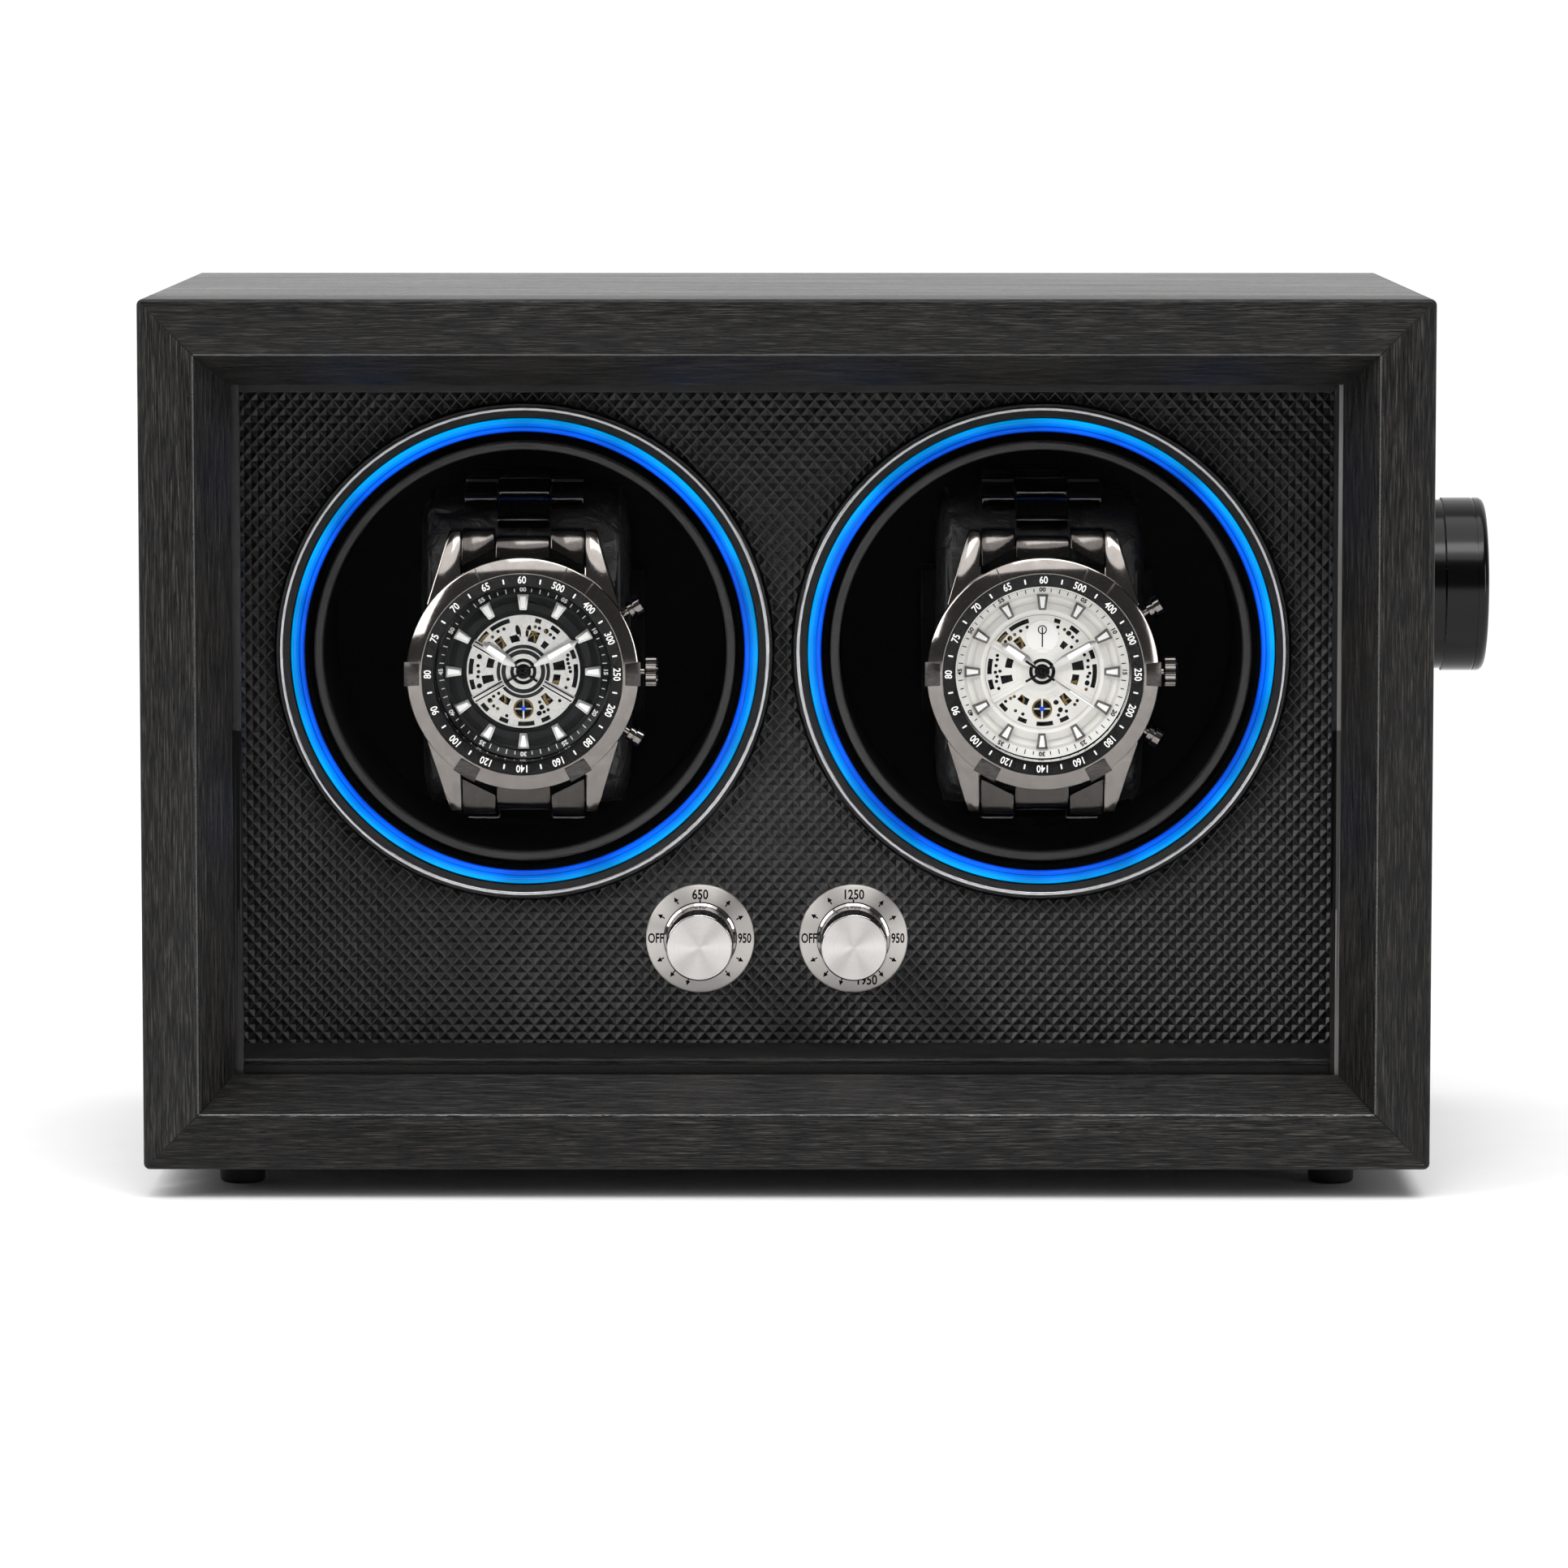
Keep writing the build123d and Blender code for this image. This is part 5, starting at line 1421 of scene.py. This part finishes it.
def outward(centre, y, turn):
    """Lays an upright part, in mm, along a line out of the watch at a clock angle."""
    a = radians(turn)
    return Matrix.Translation((centre.x, y, centre.z)) @ Matrix.Rotation(a, 4, "Y") @ Matrix.Scale(MM, 4)


def crown_piece(side, centre, y):
    """Fluted crown on its stem."""
    crown = lathe(
        [
            (0, 19.0), (0.78, 19.0), (0.78, 23.9), (2.4, 23.9), (3.0, 24.2), (3.0, 26.2), (2.6, 26.6),
            (0, 26.7)
        ],
        steps=FLUTES,
        closed=False
    )
    for v in crown.verts:
        r = v.co.xy.length
        if r > 2.9:
            n = round(atan2(v.co.y, v.co.x) / (2 * pi / FLUTES))
            v.co.xy *= 0.93 if n % 3 == 0 else 1.0
    crown.transform(outward(centre, y, 90))
    return piece(
        crown, f"watch_{side}_crown_fluted", [polished_steel], f"crown_{side[0]}", [f"watch_{side}_crown"],
        sharp=20.0
    )


def pusher_piece(side, which, centre, y, turn):
    """Turned push button."""
    out = [
        (0, 20.0), (0.78, 20.0), (0.78, 24.0), (1.5, 24.0), (1.65, 24.15), (1.65, 25.0), (1.3, 25.1),
        (1.3, 25.35), (1.88, 25.45), (1.88, 26.75), (1.65, 26.98), (0, 27.0)
    ]
    pusher = lathe(out, steps=40, closed=False)
    pusher.transform(outward(centre, y, turn))
    return piece(
        pusher, f"watch_{side}_pusher_{which}_turned", [polished_steel], f"pusher_{which}_{side[0]}",
        [f"watch_{side}_pusher_{which}"], sharp=20.0
    )


print("crown flutes:", FLUTES // 3)

# %% [markdown]
# ## Bracelets
# A steel bracelet runs right round the cushion. Its outer links and its middle links are staggered by
# a quarter of a link, each one a small block with rounded edges that flash as thin lines. The blocks are
# placed along the loop that the cushion's outline gives, and grow narrower away from the case. End pieces
# fill the room between the lugs.

# %% Bracelet builder
LINK_THICK = 2.8
LINK_GAP = 0.4
LINK_ROWS = 12
LUG_END = 26.6
END_LEAN = 0.42
END_PIECES = (
    [(-12.0, 21.0), (-5.5, 24.4), (-5.5, 28.3), (-12.0, 28.3)],
    [(12.0, 21.0), (12.0, 28.3), (5.5, 28.3), (5.5, 24.4)],
    [(-5.3, 22.6), (5.3, 22.6), (5.3, 26.8), (-5.3, 26.8)],
)


def bracelet_piece(side, centre, watch_centre):
    """Links round the cushion and end pieces at the lugs."""
    low, high = corners(f"cushion_{side}")
    off = LINK_GAP + LINK_THICK / 2
    y0, y1 = low.y / MM - off, high.y / MM + off
    half = (high.z - low.z) / 2 / MM + off
    bend = ROUND_MM + off
    flat, quarter, top = half - bend, bend * pi / 2, y1 - y0 - 2 * bend

    def spot(travel):
        """Depth, rise and outward angle of the loop's middle line."""
        if travel < flat:
            return y0, travel, pi
        travel -= flat
        if travel < quarter:
            a = travel / bend
            return y0 + bend * (1 - cos(a)), flat + bend * sin(a), pi - a
        travel -= quarter
        if travel < top:
            return y0 + bend + travel, half, pi / 2
        travel -= top
        if travel < quarter:
            a = travel / bend
            return y1 - bend + bend * sin(a), flat + bend * cos(a), pi / 2 - a
        travel -= quarter
        return y1, flat - travel, 0.0

    band = bmesh.new()
    run = 2 * flat + 2 * quarter + top - LUG_END
    pitch = run / LINK_ROWS
    for end in (1, -1):
        for n in range(2 * LINK_ROWS):
            middle = n % 2 == 0
            travel = LUG_END + pitch * (n / 2 + (0.25 if middle else 0.5))
            if travel > LUG_END + run:
                continue
            y, rise, out = spot(travel)
            width = 24.0 - 0.3 * (n / 2)
            strip = width * 0.43 if middle else width * 0.275
            curl = pitch * 0.93
            turn = Matrix((
                (1, 0, 0, centre.x / MM),
                (0, -end * sin(out), cos(out), y),
                (0, cos(out), end * sin(out), centre.z / MM + end * rise),
                (0, 0, 0, 1),
            ))
            for x in ((0.0,) if middle else (-width * 0.36, width * 0.36)):
                link = block(strip, curl, LINK_THICK + (0.15 if middle else 0.0), 0.42)
                link.transform(turn @ Matrix.Translation((x, 0, 0)))
                bmesh.ops.recalc_face_normals(link, faces=link.faces)
                join(band, link)
    for end in (1, -1):
        for outline in END_PIECES:
            fill = slab(outline, 4.6, 0.3)
            lean = Matrix.Identity(4)
            lean[2][1] = -END_LEAN
            lifted = Matrix.Translation((0, 0, 3.4 + END_LEAN * 21)) @ lean
            fill.transform(
                Matrix.Translation((watch_centre.x / MM, 0, 0)) @ Matrix.Diagonal((1, end, 1, 1)) @ lifted
            )
            bmesh.ops.recalc_face_normals(fill, faces=fill.faces)
            fill.transform(
                Matrix.Translation((0, low.y / MM - LINK_GAP, watch_centre.z / MM))
                @ Matrix.Rotation(pi / 2, 4, "X")
            )
            join(band, fill)
    band.transform(Matrix.Scale(MM, 4))
    return piece(
        band, f"watch_{side}_steel_links", [link_steel], f"rotor_{side}", [f"watch_{side}_bracelet"],
        sharp=40.0
    )


print("bracelet:", LINK_ROWS, "rows each way,", LINK_THICK, "mm thick")

# %% [markdown]
# ## Two watches
# Both watches have the same parts and differ in finish, so one loop builds them from the frame's own
# places: the hands' joint gives the centre, and each part's box gives how far back it starts.

# %% Build both watches
HANDS = (
    ("hour", 9.9, 3.4, 2.2, 305),
    ("minute", 12.6, 3.8, 1.8, 60),
    ("seconds", 14.2, 4.0, 0.55, 124),
)

for side, look in WATCHES.items():
    centre = joint_point(f"minute_hand_{side}")
    case_low, case_high = corners(f"watch_{side}_case")
    bezel_low, bezel_high = corners(f"watch_{side}_bezel")
    watch_case_piece(side, centre, case_high.y, case_low.y)
    watch_bezel_piece(side, centre, bezel_high.y, (bezel_high.y - bezel_low.y) / MM)
    watch_dial_piece(side, centre, rear(f"watch_{side}_dial"), look)
    for hand, length, tail, width, turn in HANDS:
        if f"watch_{side}_{hand}_hand" in frame["nodes"]:
            hand_y = rear(f"watch_{side}_{hand}_hand")
            hand_piece(side, f"{hand}_hand", centre, hand_y, length, tail, width, turn, f"{hand}_{side[0]}")
    mid_y = joint_point(f"crown_turn_{side}").y
    crown_piece(side, centre, mid_y)
    pusher_piece(side, "upper", centre, mid_y, 60)
    pusher_piece(side, "lower", centre, mid_y, 120)
    bracelet_piece(side, rotors[side], centre)
    glass = lathe([(0, 0), (17.0, 0), (17.0, 1.3), (16.6, 1.7), (0, 1.8)], steps=96, closed=False)
    glass.transform(stand(centre.x, rear(f"watch_{side}_crystal"), centre.z))
    piece(
        glass, f"watch_{side}_glass", [crystal_glass], f"rotor_{side}", [f"watch_{side}_crystal"],
    )
    print("watch", side, "centre", tuple(round(c, 4) for c in centre))

# %% [markdown]
# ## Stage, light and camera
# The box stands on a white sweep under soft studio light: one wide canopy overhead, a white wall behind
# that gives the top its sheen, darkness in front so that the pane and the steel keep their depth, and two
# narrow soft boxes for the bars of light on the steel, with a third, wide one high in front for the
# turned faces. The camera stands well back with a long lens, a little above.

# %% Stage
floor = bmesh.new()
bmesh.ops.create_grid(floor, x_segments=1, y_segments=1, size=6.0)
floor_mesh = bpy.data.meshes.new("studio_floor")
floor.to_mesh(floor_mesh)
floor.free()
floor_paint, tree = new_finish("matt_white_sweep")
grit = add(tree, "TexNoise", {"Vector": spots(tree), "Scale": 60.0})
level_white = ramp(tree, grit.outputs["Fac"], [(0.0, "#f2f2f2"), (1.0, "#f6f6f6")])
white = add(
    tree,
    "BsdfPrincipled",
    {"Base Color": level_white.outputs[0], "Roughness": 0.9, "Specular IOR Level": 0.1}
)
add(tree, "OutputMaterial", {"Surface": white.outputs[0]})
floor_mesh.materials.append(floor_paint)
studio_floor = bpy.data.objects.new("studio_floor", floor_mesh)
bpy.context.scene.collection.objects.link(studio_floor)
print("stage:", studio_floor.name)

# %% Studio room
world = bpy.data.worlds.new("studio")
bpy.context.scene.world = world
world.use_nodes = True
sky = world.node_tree
sky.nodes.clear()
seen = add(sky, "LightPath")
heading = add(sky, "SeparateXYZ", {0: add(sky, "TexCoord").outputs["Generated"]})
wall = add(
    sky,
    "MapRange",
    {"Value": heading.outputs["Y"], "From Min": -0.1, "From Max": 0.7, "To Min": 0.1, "To Max": 0.95}
)
bright = add(sky, "Background", {"Color": (1, 1, 1, 1), "Strength": 1.05})
dim = add(sky, "Background", {"Color": (1, 1, 1, 1), "Strength": wall.outputs[0]})
split = add(sky, "MixShader", {0: seen.outputs["Is Camera Ray"], 1: dim.outputs[0], 2: bright.outputs[0]})
add(sky, "OutputWorld", {"Surface": split.outputs[0]})
bpy.context.scene.view_settings.view_transform = "Standard"
print("room:", world.name)

# %% Lights


def softbox(name, spot, target, width, height, watts):
    """A rectangular soft light that faces a target."""
    lamp = bpy.data.lights.new(name, "AREA")
    lamp.shape = "RECTANGLE"
    lamp.size = width
    lamp.size_y = height
    lamp.energy = watts
    made = bpy.data.objects.new(name, lamp)
    made.matrix_world = Matrix.Translation(spot) @ (
        Vector(target) - Vector(spot)
    ).to_track_quat("-Z", "Y").to_matrix().to_4x4()
    bpy.context.scene.collection.objects.link(made)


aim = (0, 0, 0.09)
canopy = bpy.data.lights.new("canopy", "SUN")
canopy.energy = 2.6
canopy.angle = radians(70)
canopy_object = bpy.data.objects.new("canopy", canopy)
canopy_object.matrix_world = Vector((0.04, 0.35, -1.0)).to_track_quat("-Z", "Y").to_matrix().to_4x4()
bpy.context.scene.collection.objects.link(canopy_object)
softbox("left_front", (-1.15, -1.0, 0.8), aim, 0.45, 0.9, 9)
softbox("right_front", (1.2, -0.9, 0.3), aim, 0.25, 0.8, 4)
softbox("high_front", (0.25, -0.95, 1.35), aim, 1.1, 0.35, 8)

# %% Camera
rails_low, rails_high = corners("door_rails")
box_mid = (rails_low.x + rails_high.x) / 2
eye = Vector((box_mid + 0.0020, rails_low.y - 1.4595, 0.2294))
look_at = Vector((box_mid - 0.0005, rails_low.y, 0.0814))
camera = bpy.data.cameras.new("camera")
camera.lens = 174.2
camera.sensor_width = 36.0
camera_object = bpy.data.objects.new("camera", camera)
camera_object.matrix_world = Matrix.Translation(eye) @ (
    look_at - eye
).to_track_quat("-Z", "Y").to_matrix().to_4x4()
bpy.context.scene.collection.objects.link(camera_object)
bpy.context.scene.camera = camera_object
print("camera:", camera.lens, "mm lens,", round((eye - look_at).length, 2), "m away")
